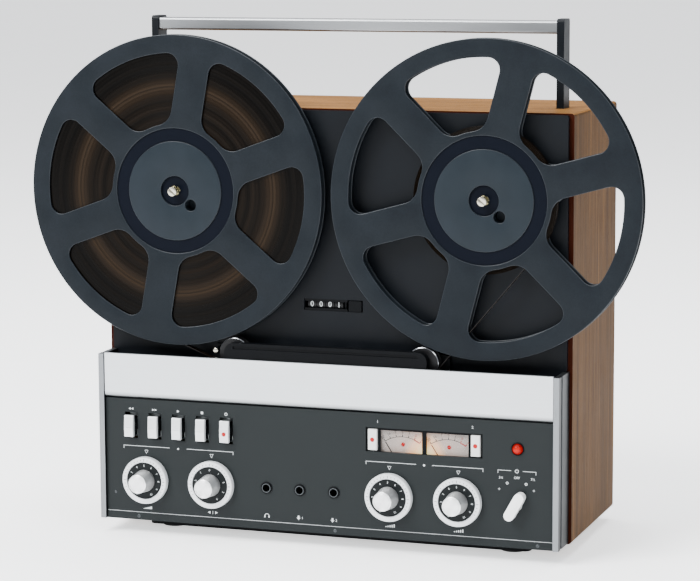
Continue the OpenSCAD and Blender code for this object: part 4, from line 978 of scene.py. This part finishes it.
@dataclass
class Dial:
    """A numbered dial with a spun knob inside a selector ring; profiles hold radii and depths."""

    name: str
    x: float
    marks: tuple[str, ...] = tuple(str(k) for k in range(11))
    z: float = 48.1
    face: float = -2.3
    knob: Outline = ((0, -17.7), (6.3, -17.7), (6.6, -17.4), (6.9, -17.7), (7.6, -17.7), (8.1, -17.2),
                     (9.4, -3.2), (9.6, -2.3))
    disc: Outline = ((9.5, -2.3), (15.5, -2.3), (15.8, -2), (15.8, -1.1), (3, -1.1))
    ring_face: float = -2.6
    ring: Outline = ((3.2, -0.7), (16.1, -0.7), (16.1, -2.3), (16.4, -2.6), (19.3, -2.6), (20, -2.3),
                     (20.4, -1.6), (20.4, 2.7), (6, 2.7))
    figure_at: float = 13.2
    figure_size: float = 2.5
    sweep: float = 300.0
    mark_at: float = 17.9
    mark_width: float = 0.4

    @property
    def centre(self) -> Vector:
        """A point of the axis."""
        return Vector((self.x, 0, self.z))

    def build(self) -> None:
        """Builds knob, disc, figures, ring and marks."""
        spot, body = (self.x, self.z), f"{self.name}_dial"
        knob = Piece(f"{self.name}_knob")
        knob.turn(sunk(self.knob), self.centre, 96)
        knob.place(body, Spun(f"{self.name}_spun", "spun_knob", "#f2f3f3", rough=0.36, centre=spot))
        disc = Piece(f"{self.name}_disc")
        shaft, end = self.disc[-1][0], Box.of(body).hi.y
        disc.turn([*sunk(self.disc), (shaft, end), (0, end)], self.centre, 96)
        disc.place(body, DARK_DISC, [body])
        ink = Piece(f"{self.name}_figures")
        for k, text in enumerate(self.marks):
            angle = 90 + self.sweep * (0.5 - k / (len(self.marks) - 1))
            x, z = polar(self.figure_at, angle, spot)
            ink.figure(text, self.figure_size, facing(x, deep(self.face), z, 90 - angle))
        ink.place(body, WHITE_INK)
        self.selector(spot)

    def selector(self, spot: Point) -> None:
        """The selector ring round the disc, with small dark marks."""
        body = f"{self.name}_ring"
        ring = Piece(f"{self.name}_selector")
        bore, sleeve, end = self.ring[0][0], self.ring[-1][0], Box.of(body).hi.y
        ring.turn([*sunk(self.ring), (sleeve, end), (bore, end)], self.centre, 128, closed=True)
        ring.place(body, RING_WHITE, [body])
        marks = Piece(f"{self.name}_marks")
        front, half = deep(self.ring_face), self.mark_width / 2
        for angle in range(-30, 211, 10):
            x, z = polar(self.mark_at, angle, spot)
            reach = 1.1 if angle % 90 == 0 else 0.55
            mark = marks.block((x - half, front - PRINT, z - reach), (x + half, front + PRINT, z + reach))
            marks.rotate(mark, Vector((x, 0, z)), "Y", 90 - angle)
        marks.place(body, BLACK_INK)


@dataclass
class Keys:
    """The transport keys, the record presets, the lamp and the power lever."""

    names: tuple[str, ...] = ("rewind", "forward", "play", "stop", "record")
    first: float = -175.7
    pitch: float = 22.0
    row: float = 95.1
    half: float = 4.0
    rim: float = 0.2
    back: float = 6.5
    overlap: float = 0.1
    stem_half: Point = (3.8, 8.4)
    play: float = 2.0
    cap: Outline = ((-2.7, 9.5), (-3.58, -0.5), (-3.2, -0.75), (-3.6, -1.0), (-3.0, -9.2), (0.2, -9.2),
                    (0.2, 9.5))
    dot: Outline = ((0, -3.66), (1.8, -3.66), (1.95, -3.4))
    dot_drop: float = 1.6
    preset_middle: Point = (88.3, 96.0)
    preset_apart: float = 44.75
    preset_half: Point = (3.9, 8.9)
    preset_front: float = 2.0
    preset_dot: Outline = ((0, 1.92), (1.85, 1.92), (2.0, 2.05))
    lever_at: Point = (168.2, 48.6)
    lever_end: float = 4.3
    lever_reach: float = 8.5
    lever_turn: float = 29.0
    lever_depths: Point = (-6.6, 1.5)
    lever_foot: Outline = ((4.9, 1.4), (4.9, 2.7), (3, 2.7))
    lens: float = 4.5
    lens_seat: float = 3.0
    lens_foot: Outline = ((3.7, 3), (3.7, 14), (0, 14))
    holder: Outline = ((4.6, 3), (4.6, 2.3), (5.0, 2.1), (5.5, 2.3), (5.6, 3))

    def build(self) -> None:
        """Builds the keys, the lever and the lamp."""
        for k, name in enumerate(self.names):
            self.key(f"{name}_key", self.first + k * self.pitch, name == "record")
        for name, side in (("left_preset_key", -1), ("right_preset_key", 1)):
            self.preset(name, self.preset_middle[0] + side * self.preset_apart)
        self.lever()
        self.lamp()

    def guide(self, piece: Piece, name: str, z: float, half: float) -> None:
        """The tongue of a key that runs in the housing's guide, a little narrower than its CAD node.

        Args:
            piece: Mesh that takes the tongue.
            name: CAD node of the key.
            z: Middle of the key.
            half: Half the tongue's height.
        """
        box = Box.of(name)
        start = deep(self.back) - self.overlap
        piece.block((box.lo.x + self.play, start, z - half), (box.hi.x - self.play, box.hi.y, z + half))

    def key(self, name: str, x: float, dotted: bool) -> None:
        """A key: a creased, softly rounded silver cap on a black stem.

        Args:
            name: Body and CAD node of the key.
            x: Its middle.
            dotted: Whether it has a red dot.
        """
        z, front = self.row, ahead_of(-1)
        key = Piece(f"{name}_cap")
        key.bar([(deep(depth), z + up) for depth, up in self.cap], x - self.half, x + self.half)
        key.soften(0.6, 4, 40, lambda e: front(e) and all(abs(v.co.z - z) > 2 for v in e.verts))
        key.place(name, SILVER_KEY, [name], smooth=30)
        stem = Piece(f"{name}_stem")
        wide, tall = self.stem_half
        start, end = deep(self.rim) - self.overlap, deep(self.back)
        stem.block((x - wide, start, z - tall), (x + wide, end, z + tall))
        self.guide(stem, name, z, 4)
        stem.place(name, BLACK_PLASTIC)
        if dotted:
            dot = Piece(f"{name}_dot")
            dot.turn(sunk(self.dot), Vector((x, 0, z - self.dot_drop)), 24)
            dot.place(name, RED_INK)

    def preset(self, name: str, x: float) -> None:
        """A small white key with a red dot."""
        z, (wide, tall) = self.preset_middle[1], self.preset_half
        key = Piece(f"{name}_cap")
        key.block((x - wide, deep(self.preset_front), z - tall), (x + wide, deep(self.back), z + tall))
        key.soften(0.9, 4, 40, ahead_of(4))
        self.guide(key, name, z, 3)
        key.place(name, PRESET_WHITE, [name], smooth=50)
        dot = Piece(f"{name}_dot")
        dot.turn(sunk(self.preset_dot), Vector((x, 0, z)), 24)
        dot.place(name, RED_INK)

    def lever(self) -> None:
        """The bar knob of the power switch."""
        x, z = self.lever_at
        centre = Vector((x, 0, z))
        shaft, end = self.lever_foot[-1][0], Box.of("power_lever").hi.y
        lever = Piece("power_lever_bar")
        ends = arc((x, z + self.lever_reach), self.lever_end, 0, 180, 16)
        ends += arc((x, z - self.lever_reach), self.lever_end, 180, 360, 16)
        front, back = (deep(depth) for depth in self.lever_depths)
        bar = lever.plate(ends, front, back)
        lever.rotate(bar, centre, "Y", self.lever_turn)
        lever.soften(1.2, 4, 60, ahead_of(0))
        lever.turn([*sunk(self.lever_foot), (shaft, end), (0, end)], centre, 32)
        lever.place("power_lever", LEVER_WHITE, ["power_lever"])

    def lamp(self) -> None:
        """The glowing lens in its black holder."""
        centre = Vector((LAMP_AT[0], 0, LAMP_AT[1]))
        rise = [math.radians(7.5 * k) for k in range(13)]
        dome = [(self.lens * math.sin(a), self.lens_seat - self.lens * math.cos(a)) for a in rise]
        lens = Piece("lamp_lens")
        lens.turn(sunk([*dome, *self.lens_foot]), centre, 48)
        lens.place("chassis", LAMP, ["lamp_jewel"])
        holder = Piece("lamp_holder")
        holder.turn(sunk(self.holder), centre, 48)
        holder.place("chassis", BLACK_PLASTIC)


@dataclass
class Prints:
    """White marks on the control panel: brackets, triangles, figures and plain pictograms."""

    face: float = field(default_factory=lambda: deep(PANEL_DEPTH) - PRINT / 2)
    piece: Piece = field(default_factory=lambda: Piece("panel_print"))
    line: float = 0.32
    brackets: tuple[tuple[float, float, float], ...] = (
        (-183.0, -81.8, 16), (37.7, 139.5, 14), (152.3, 184.6, 10))
    bracket_row: float = 77.3
    pointers: tuple[float, ...] = (-162.0, -101.6, 58.3, 118.3)
    pointer_row: float = 72.6
    rule_row: float = 19.1
    presets: tuple[tuple[str, float], ...] = (("1", 48.0), ("2", 130.5))
    preset_row: float = 111.5
    dots: tuple[tuple[float, float], ...] = ((-132.4, 0.8), (88.6, 0.9))
    dot_row: float = 76.9
    key_first: float = -175.9
    key_pitch: float = 22.0
    key_row: float = 109.7
    switch: Point = (168.4, 77.1)
    speeds: tuple[tuple[str, float, float], ...] = (
        ("OFF", 168.5, 71.4), ("3¾", 154.9, 70.9), ("7½", 182.1, 70.9))
    speed_size: float = 2.9
    stops: tuple[Point, ...] = ((160.2, 66.7), (176.3, 66.7))
    crosses: tuple[Point, ...] = ((153.4, 61.4), (183.0, 61.6))
    dial_row: float = 23.4
    wedge: Point = (-166.0, -157.6)
    balance: float = -101.0
    levels: tuple[float, ...] = (58.8, 118.6)
    jack_row: float = 24.6
    earphones: float = -51.4
    microphones: tuple[tuple[float, str], ...] = ((-21.4, "1"), (9.1, "2"))

    def build(self) -> None:
        """Prints the marks in the photograph's places."""
        for start, end, gap in self.brackets:
            self.bracket(start, end, self.bracket_row, gap)
        for x in self.pointers:
            self.triangle(x, self.pointer_row)
        panel = Box.of("control_panel")
        self.stroke(panel.lo.x + 0.5, self.rule_row, panel.hi.x - 0.5, self.rule_row, 0.3)
        self.transport()
        self.power()
        self.under_dials()
        self.under_jacks()
        for text, x in self.presets:
            self.figure(text, x, self.preset_row, 3.2)
        for x, radius in self.dots:
            self.fill(circle((x, self.dot_row), radius, 20))
        self.piece.place("chassis", WHITE_INK)

    def stroke(self, x0: float, z0: float, x1: float, z1: float, width: float | None = None) -> None:
        """A straight printed line."""
        half = (width or self.line) / 2
        end = x0 + math.hypot(x1 - x0, z1 - z0)
        verts = self.piece.block((x0, self.face, z0 - half), (end, self.face + PRINT, z0 + half))
        self.piece.rotate(verts, Vector((x0, 0, z0)), "Y", -math.degrees(math.atan2(z1 - z0, x1 - x0)))

    def figure(self, text: str, x: float, z: float, height: float) -> None:
        """Printed figures about a middle point."""
        self.piece.figure(text, height, facing(x, self.face, z))

    def fill(self, outline: Outline, holes: Iterable[Outline] = ()) -> None:
        """A filled printed shape."""
        self.piece.plate(outline, self.face, self.face + PRINT, holes)

    def ring(self, centre: Point, radius: float, start: float = 0.0, end: float = 360.0,
             width: float = 0.4) -> None:
        """A printed ring, or a part of one."""
        outer = arc(centre, radius, start, end, 24)
        inner = arc(centre, radius - width, start, end, 24)
        if end - start < 360:
            self.fill(outer + inner[::-1])
        else:
            self.fill(outer[:-1], [inner[:-1]])

    def bracket(self, start: float, end: float, z: float, gap: float) -> None:
        """A line with turned-down ends and room for a mark in its middle."""
        middle = (start + end) / 2
        self.stroke(start, z, middle - gap / 2, z)
        self.stroke(middle + gap / 2, z, end, z)
        for x in (start, end):
            self.stroke(x, z + 0.2, x, z - 2.6)

    def triangle(self, x: float, z: float, size: float = 1.5) -> None:
        """An open triangle that points down to a dial."""
        corners = [(x - size, z + size), (x + size, z + size), (x, z - size)]
        for (x0, z0), (x1, z1) in zip(corners, corners[1:] + corners[:1]):
            self.stroke(x0, z0, x1, z1, 0.28)

    def arrow(self, x: float, z: float, way: int, size: float = 0.95) -> None:
        """A filled arrowhead along the row."""
        self.fill([(x - way * size, z + size), (x + way * size, z), (x - way * size, z - size)])

    def transport(self) -> None:
        """Marks over the keys: back, forward, play, stop and record."""
        back, forward, play, stop, record = (self.key_first + k * self.key_pitch for k in range(5))
        z = self.key_row
        for x, way in ((back, -1), (forward, 1)):
            for shift in (-1.2, 1.2):
                self.arrow(x + shift, z, way)
        self.arrow(play, z, 1, 1.1)
        self.fill([(stop - 1, z - 1), (stop + 1, z - 1), (stop + 1, z + 1), (stop - 1, z + 1)])
        self.ring((record, z), 1.3)

    def power(self) -> None:
        """Marks round the power lever."""
        x, z = self.switch
        self.ring(self.switch, 1.6, 120, 420)
        self.stroke(x, z + 0.1, x, z + 1.9)
        for text, across, up in self.speeds:
            self.figure(text, across, up, self.speed_size)
        for spot in self.stops:
            self.ring(spot, 1.1)
        for x, z in self.crosses:
            self.stroke(x - 1, z, x + 1, z)
            self.stroke(x, z - 1, x, z + 1)

    def under_dials(self) -> None:
        """A wedge for loudness, a balance mark and two level marks."""
        z, middle = self.dial_row, self.balance
        thin, thick = self.wedge
        self.fill([(thin, z - 1.1), (thick, z - 1.1), (thick, z + 1.3)])
        for way in (-1, 1):
            self.arrow(middle + way * 3.4, z, way, 1.2)
        self.stroke(middle, z - 1.4, middle, z + 1.4)
        for level in self.levels:
            for k in range(5):
                x = level - 3.6 + 1.8 * k
                self.stroke(x, z - 1.3, x, z - 0.6 + 0.5 * k, 0.9)

    def under_jacks(self) -> None:
        """A pair of earphones and two microphones."""
        z, middle = self.jack_row, self.earphones
        self.ring((middle, z - 0.6), 2.1, 0, 180)
        for way in (-1, 1):
            ear = middle + way * 1.9
            self.stroke(ear, z - 2.0, ear, z - 0.4, 1.0)
        for place, text in self.microphones:
            x = place - 1.4
            self.fill(oblong((x, z + 0.2), 1.5, 2.9, 0.7))
            self.ring((x, z), 1.5, 180, 360, 0.35)
            self.stroke(x, z - 1.5, x, z - 2.3, 0.35)
            self.figure(text, place + 2.0, z - 0.4, 3.0)


@dataclass
class Meters:
    """Printed scales, figures and overload dots on the two meter faces."""

    faces: tuple[float, ...] = (68.25, 108.35)
    depth: float = 7.8
    staff: float = 71.1
    radius: float = 28.0
    swing: float = 33.0
    figures: tuple[str, ...] = ("20", "10", "7", "5", "3", "0", "3")
    red_from: int = 5
    line: float = 0.45
    red_line: float = 0.9
    tick: Point = (0.6, 1.7)
    figure_rise: float = 3.5
    figure_size: float = 3.1
    dot: Outline = ((0, -0.5), (1.0, -0.35), (1.8, 0))
    dot_at: Point = (0.6, 92.4)

    def build(self) -> None:
        """Prints both faces."""
        black, red, dots = Piece("meter_scale"), Piece("meter_red"), Piece("meter_dots")
        y = deep(self.depth) - PRINT / 2
        last = len(self.figures) - 1
        turns = [90 + self.swing - 2 * self.swing * k / last for k in range(last + 1)]
        limit = turns[self.red_from]
        bands = ((black, turns[0], limit, self.line), (red, limit, turns[last], self.red_line))
        half, tall = self.tick[0] / 2, self.tick[1]
        for x in self.faces:
            centre = (x, self.staff)
            for ink, start, end, width in bands:
                outer = arc(centre, self.radius, start, end, 20)
                ink.plate(outer + arc(centre, self.radius - width, end, start, 20), y, y + PRINT)
            for k, turn in enumerate(turns):
                ink = black if k < self.red_from else red
                x0, z0 = polar(self.radius, turn, centre)
                verts = ink.block((x0 - half, y, z0), (x0 + half, y + PRINT, z0 + tall))
                ink.rotate(verts, Vector((x0, 0, z0)), "Y", 90 - turn)
                across, up = polar(self.radius + self.figure_rise, turn, centre)
                ink.figure(self.figures[k], self.figure_size, facing(across, y, up, 90 - turn))
            spot = Vector((x + self.dot_at[0], 0, self.dot_at[1]))
            dots.turn([(r, y + rise) for r, rise in self.dot], spot, 24)
        black.place("chassis", BLACK_INK)
        red.place("chassis", RED_INK)
        dots.place("chassis", RED_INK)


@dataclass
class Deck:
    """Counter figures and their mask, rollers, a guide pin, seams, jack washers and screws."""

    counter: Vector = field(default_factory=lambda: Vector((0, deep(42.6), 203.5)))
    wheels: tuple[tuple[str, float, int], ...] = (
        ("thousands", -20, 0), ("hundreds", -12, 0), ("tens", -4, 0), ("units", 4, 1))
    figure_size: float = 6.4
    mask_rows: Point = (2.9, 5.3)
    mask_depths: Point = (30.6, 31.2)
    mask_end: float = 12.4
    rollers: tuple[tuple[str, float], ...] = (("left", -84.0), ("right", 84.0))
    roller_row: float = 160.4
    roller: Outline = ((13.2, 14.2), (13.9, 14.75), (13.9, 15.05), (12.05, 15.35), (12.05, 21.65),
                       (13.9, 21.95), (13.9, 22.5), (13.3, 22.85), (4.2, 22.85), (4.2, 14.2))
    roller_rim: Outline = ((13.2, 14.15), (13.75, 14.55))
    pin_at: Point = (-100.8, 162.4)
    pin: Outline = ((0, 12.6), (1.5, 12.75), (2.15, 12.95), (2.4, 13.25), (2.45, 14.15))
    seam_inset: Point = (0.7, 1.75)
    seam_depths: Point = (7.05, 10.95)
    front_screws: tuple[tuple[float, float, float, float], ...] = (
        (-169.7, 2.4, 15.6, 1.5), (10.1, 2.4, 15.6, 1.5), (186.5, 2.4, 15.6, 1.5),
        (-191.6, PANEL_DEPTH, 35.4, 1.2))
    jacks: tuple[float, ...] = (-51.4, -21.4, 9.1)
    jack_row: float = 48.4
    washer: Outline = ((3.25, 0.8), (3.25, -0.02), (3.9, -0.02))
    back_columns: tuple[float, ...] = (-170, 0, 170)
    back_rows: tuple[float, ...] = (30, 352)
    back_depth: float = 176.5
    back_screw: float = 3.0

    def build(self) -> None:
        """Builds what shows on the deck, the panel and the back."""
        for name, x, shown in self.wheels:
            self.figures(f"{name}_wheel", x, shown)
        for side, x in self.rollers:
            self.guide_roller(f"{side}_guide_roller", Vector((x, 0, self.roller_row)))
        self.mask()
        self.guide_pin()
        self.seams()
        self.screws()

    def figures(self, name: str, x: float, shown: int) -> None:
        """Ten white figures round a counter wheel.

        Args:
            name: Body of the wheel.
            x: Middle of the wheel.
            shown: Figure that faces forward at rest.
        """
        ink = Piece(f"{name}_figures")
        front = self.counter.y - Box.of(name).size.z / 2 - 2 * PRINT
        for k in range(10):
            verts = ink.figure(str(k), self.figure_size, facing(x, front, self.counter.z))
            ink.rotate(verts, self.counter, "X", -36 * (k - shown))
        ink.place(name, WHITE_INK)

    def guide_roller(self, name: str, centre: Vector) -> None:
        """A dark flanged roller with a bright rim."""
        piece = Piece(f"{name}_turned")
        piece.turn(sunk(self.roller), centre, closed=True)
        piece.place(name, WHEEL_BLACK, [name])
        rim = Piece(f"{name}_rim")
        rim.turn(sunk(self.roller_rim), centre)
        rim.place(name, STEEL)

    def mask(self) -> None:
        """Two black strips that leave one figure of each wheel in view."""
        start = Box.of("counter_frame").lo.x + 2
        near, far = (deep(depth) for depth in self.mask_depths)
        strips = Piece("counter_mask")
        for way in (-1, 1):
            low, high = sorted(self.counter.z + way * row for row in self.mask_rows)
            strips.block((start, near, low), (self.mask_end, far, high))
        strips.place("chassis", BLACK_PLASTIC)

    def guide_pin(self) -> None:
        """The polished head of the small pin beside the left roller."""
        head = Piece("guide_pin_head")
        head.turn(sunk(self.pin), Vector((self.pin_at[0], 0, self.pin_at[1])), 32)
        head.place("chassis", NICKEL)

    def seams(self) -> None:
        """Dark strips in the side grooves of the trims."""
        trims = Box.of("side_trims")
        near, far = (deep(depth) for depth in self.seam_depths)
        strips = Piece("trim_seams")
        for edge, way in ((trims.lo.x, 1), (trims.hi.x, -1)):
            start, end = sorted(edge + way * inset for inset in self.seam_inset)
            strips.block((start, near, trims.lo.z + 0.1), (end, far, trims.hi.z - 0.1))
        strips.place("chassis", BLACK_PLASTIC)

    def screws(self) -> None:
        """Cross-headed screws of the panel and the back, and the washers of the jacks."""
        lip = Piece("lip_screws")
        for x, depth, z, radius in self.front_screws:
            cross_screw(lip, Vector((x, deep(depth), z)), radius)
        lip.place("chassis", DARK_SCREW)
        washers = Piece("jack_washers")
        front = Box.of("jack_sockets").lo.y
        for x in self.jacks:
            washers.turn([(r, front + y) for r, y in self.washer], Vector((x, 0, self.jack_row)), 48)
        washers.place("chassis", DARK_SCREW)
        back = Piece("rear_screws")
        for x in self.back_columns:
            for z in self.back_rows:
                cross_screw(back, Vector((x, deep(self.back_depth), z)), self.back_screw, back=True)
        back.place("chassis", DARK_SCREW)


def cross_screw(piece: Piece, at: Vector, radius: float, back: bool = False) -> None:
    """A low round screw head with a cross recess.

    Args:
        piece: Mesh that takes the screw.
        at: Middle of its seat.
        radius: Radius of the head.
        back: Whether it faces backwards.
    """
    recess, rise = 0.3 * radius, (0.3 if back else -0.3) * radius
    piece.turn([(recess, at.y + rise), (0.7 * radius, at.y + 0.85 * rise), (radius, at.y)], at, 24)
    piece.turn([(0, at.y + 0.2 * rise), (recess, at.y + rise)], at, 4)


@dataclass
class Studio:
    """Pale floor, soft lights and the camera of the photograph; lengths in metres, power in watts."""

    lights: tuple[tuple[str, tuple[float, float, float], float, float], ...] = (
        ("key", (-1.5, -2.2, 2.6), 1.8, 290.0),
        ("fill", (2.1, -2.3, 2.3), 1.0, 24.0),
        ("top", (0.0, 0.3, 2.8), 2.2, 130.0))
    target: tuple[float, float, float] = (0.0, 0.0, 0.22)
    floor_reach: float = 40.0
    floor_glow: float = 1.0
    sky: tuple[float, float, float, float] = (0.92, 0.95, 1.0, 1.0)
    sky_strength: float = 0.85
    eye: tuple[float, float, float] = (0.724492, -2.113958, 0.531256)
    yaw: float = -0.331561
    pitch: float = -0.143257
    roll: float = -0.00454
    lens: float = 134.52
    sensor: float = 36.0
    sight: float = 100.0

    def build(self) -> None:
        """Sets up everything that isn't part of the object."""
        self.floor()
        for name, place, size, power in self.lights:
            self.light(name, place, size, power)
        self.world()
        self.camera()

    def floor(self) -> None:
        """A pale floor that reaches past the edges of every picture."""
        bm = bmesh.new()
        bmesh.ops.create_circle(bm, cap_ends=True, segments=96, radius=self.floor_reach)
        mesh = bpy.data.meshes.new("floor")
        bm.to_mesh(mesh)
        bm.free()
        paper = FLOOR.material()
        shader = paper.node_tree.nodes["Principled BSDF"]
        shader.inputs["Emission Color"].default_value = (1, 1, 1, 1)
        shader.inputs["Emission Strength"].default_value = self.floor_glow
        mesh.materials.append(paper)
        ground = bpy.data.objects.new("floor", mesh)
        bpy.context.scene.collection.objects.link(ground)

    def light(self, name: str, place: tuple[float, float, float], size: float, power: float) -> None:
        """A large soft light that looks at the middle of the object.

        Args:
            name: Name of the light.
            place: Where it hangs, in metres.
            size: Length of its sides.
            power: Its power in watts.
        """
        data = bpy.data.lights.new(name, "AREA")
        data.shape = "SQUARE"
        data.size = size
        data.energy = power
        lamp = bpy.data.objects.new(name, data)
        lamp.location = place
        lamp.rotation_euler = (Vector(self.target) - Vector(place)).to_track_quat("-Z", "Y").to_euler()
        bpy.context.scene.collection.objects.link(lamp)

    def world(self) -> None:
        """An even pale surrounding."""
        world = bpy.data.worlds.new("studio")
        world.use_nodes = True
        shader = world.node_tree.nodes["Background"]
        shader.inputs["Color"].default_value = self.sky
        shader.inputs["Strength"].default_value = self.sky_strength
        bpy.context.scene.world = world

    def camera(self) -> None:
        """The photograph's own view."""
        level = math.cos(self.pitch)
        forward = Vector((math.sin(self.yaw) * level, math.cos(self.yaw) * level, math.sin(self.pitch)))
        right = forward.cross(Vector((0, 0, 1))).normalized()
        up = right.cross(forward)
        across = math.cos(self.roll) * right + math.sin(self.roll) * up
        above = math.cos(self.roll) * up - math.sin(self.roll) * right
        data = bpy.data.cameras.new("camera")
        data.lens = self.lens
        data.sensor_width = self.sensor
        data.clip_end = self.sight
        camera = bpy.data.objects.new("camera", data)
        turn = Matrix((across, above, -forward)).transposed()
        camera.matrix_world = Matrix.Translation(self.eye) @ turn.to_4x4()
        bpy.context.scene.collection.objects.link(camera)
        bpy.context.scene.camera = camera


def main() -> None:
    """Dresses the recorder from its finishes to its studio."""
    logging.basicConfig(level=logging.INFO, format="%(name)s: %(message)s")
    dress_nodes()
    Reel("supply", axis=(-136.5, 298.25), turn=-10.0, pack=120.0).build()
    Reel("takeup", axis=(136.5, 298.25), turn=-14.6, pack=61.0).build()
    for name, x in (("volume", -162.3), ("left_level", 58.3), ("right_level", 118.3)):
        Dial(name, x).build()
    Dial("balance", -101.5, ("4", "3", "2", "1", "0", "1", "2", "3", "4")).build()
    Keys().build()
    Prints().build()
    Meters().build()
    Deck().build()
    Studio().build()


if __name__ == "__main__":
    main()
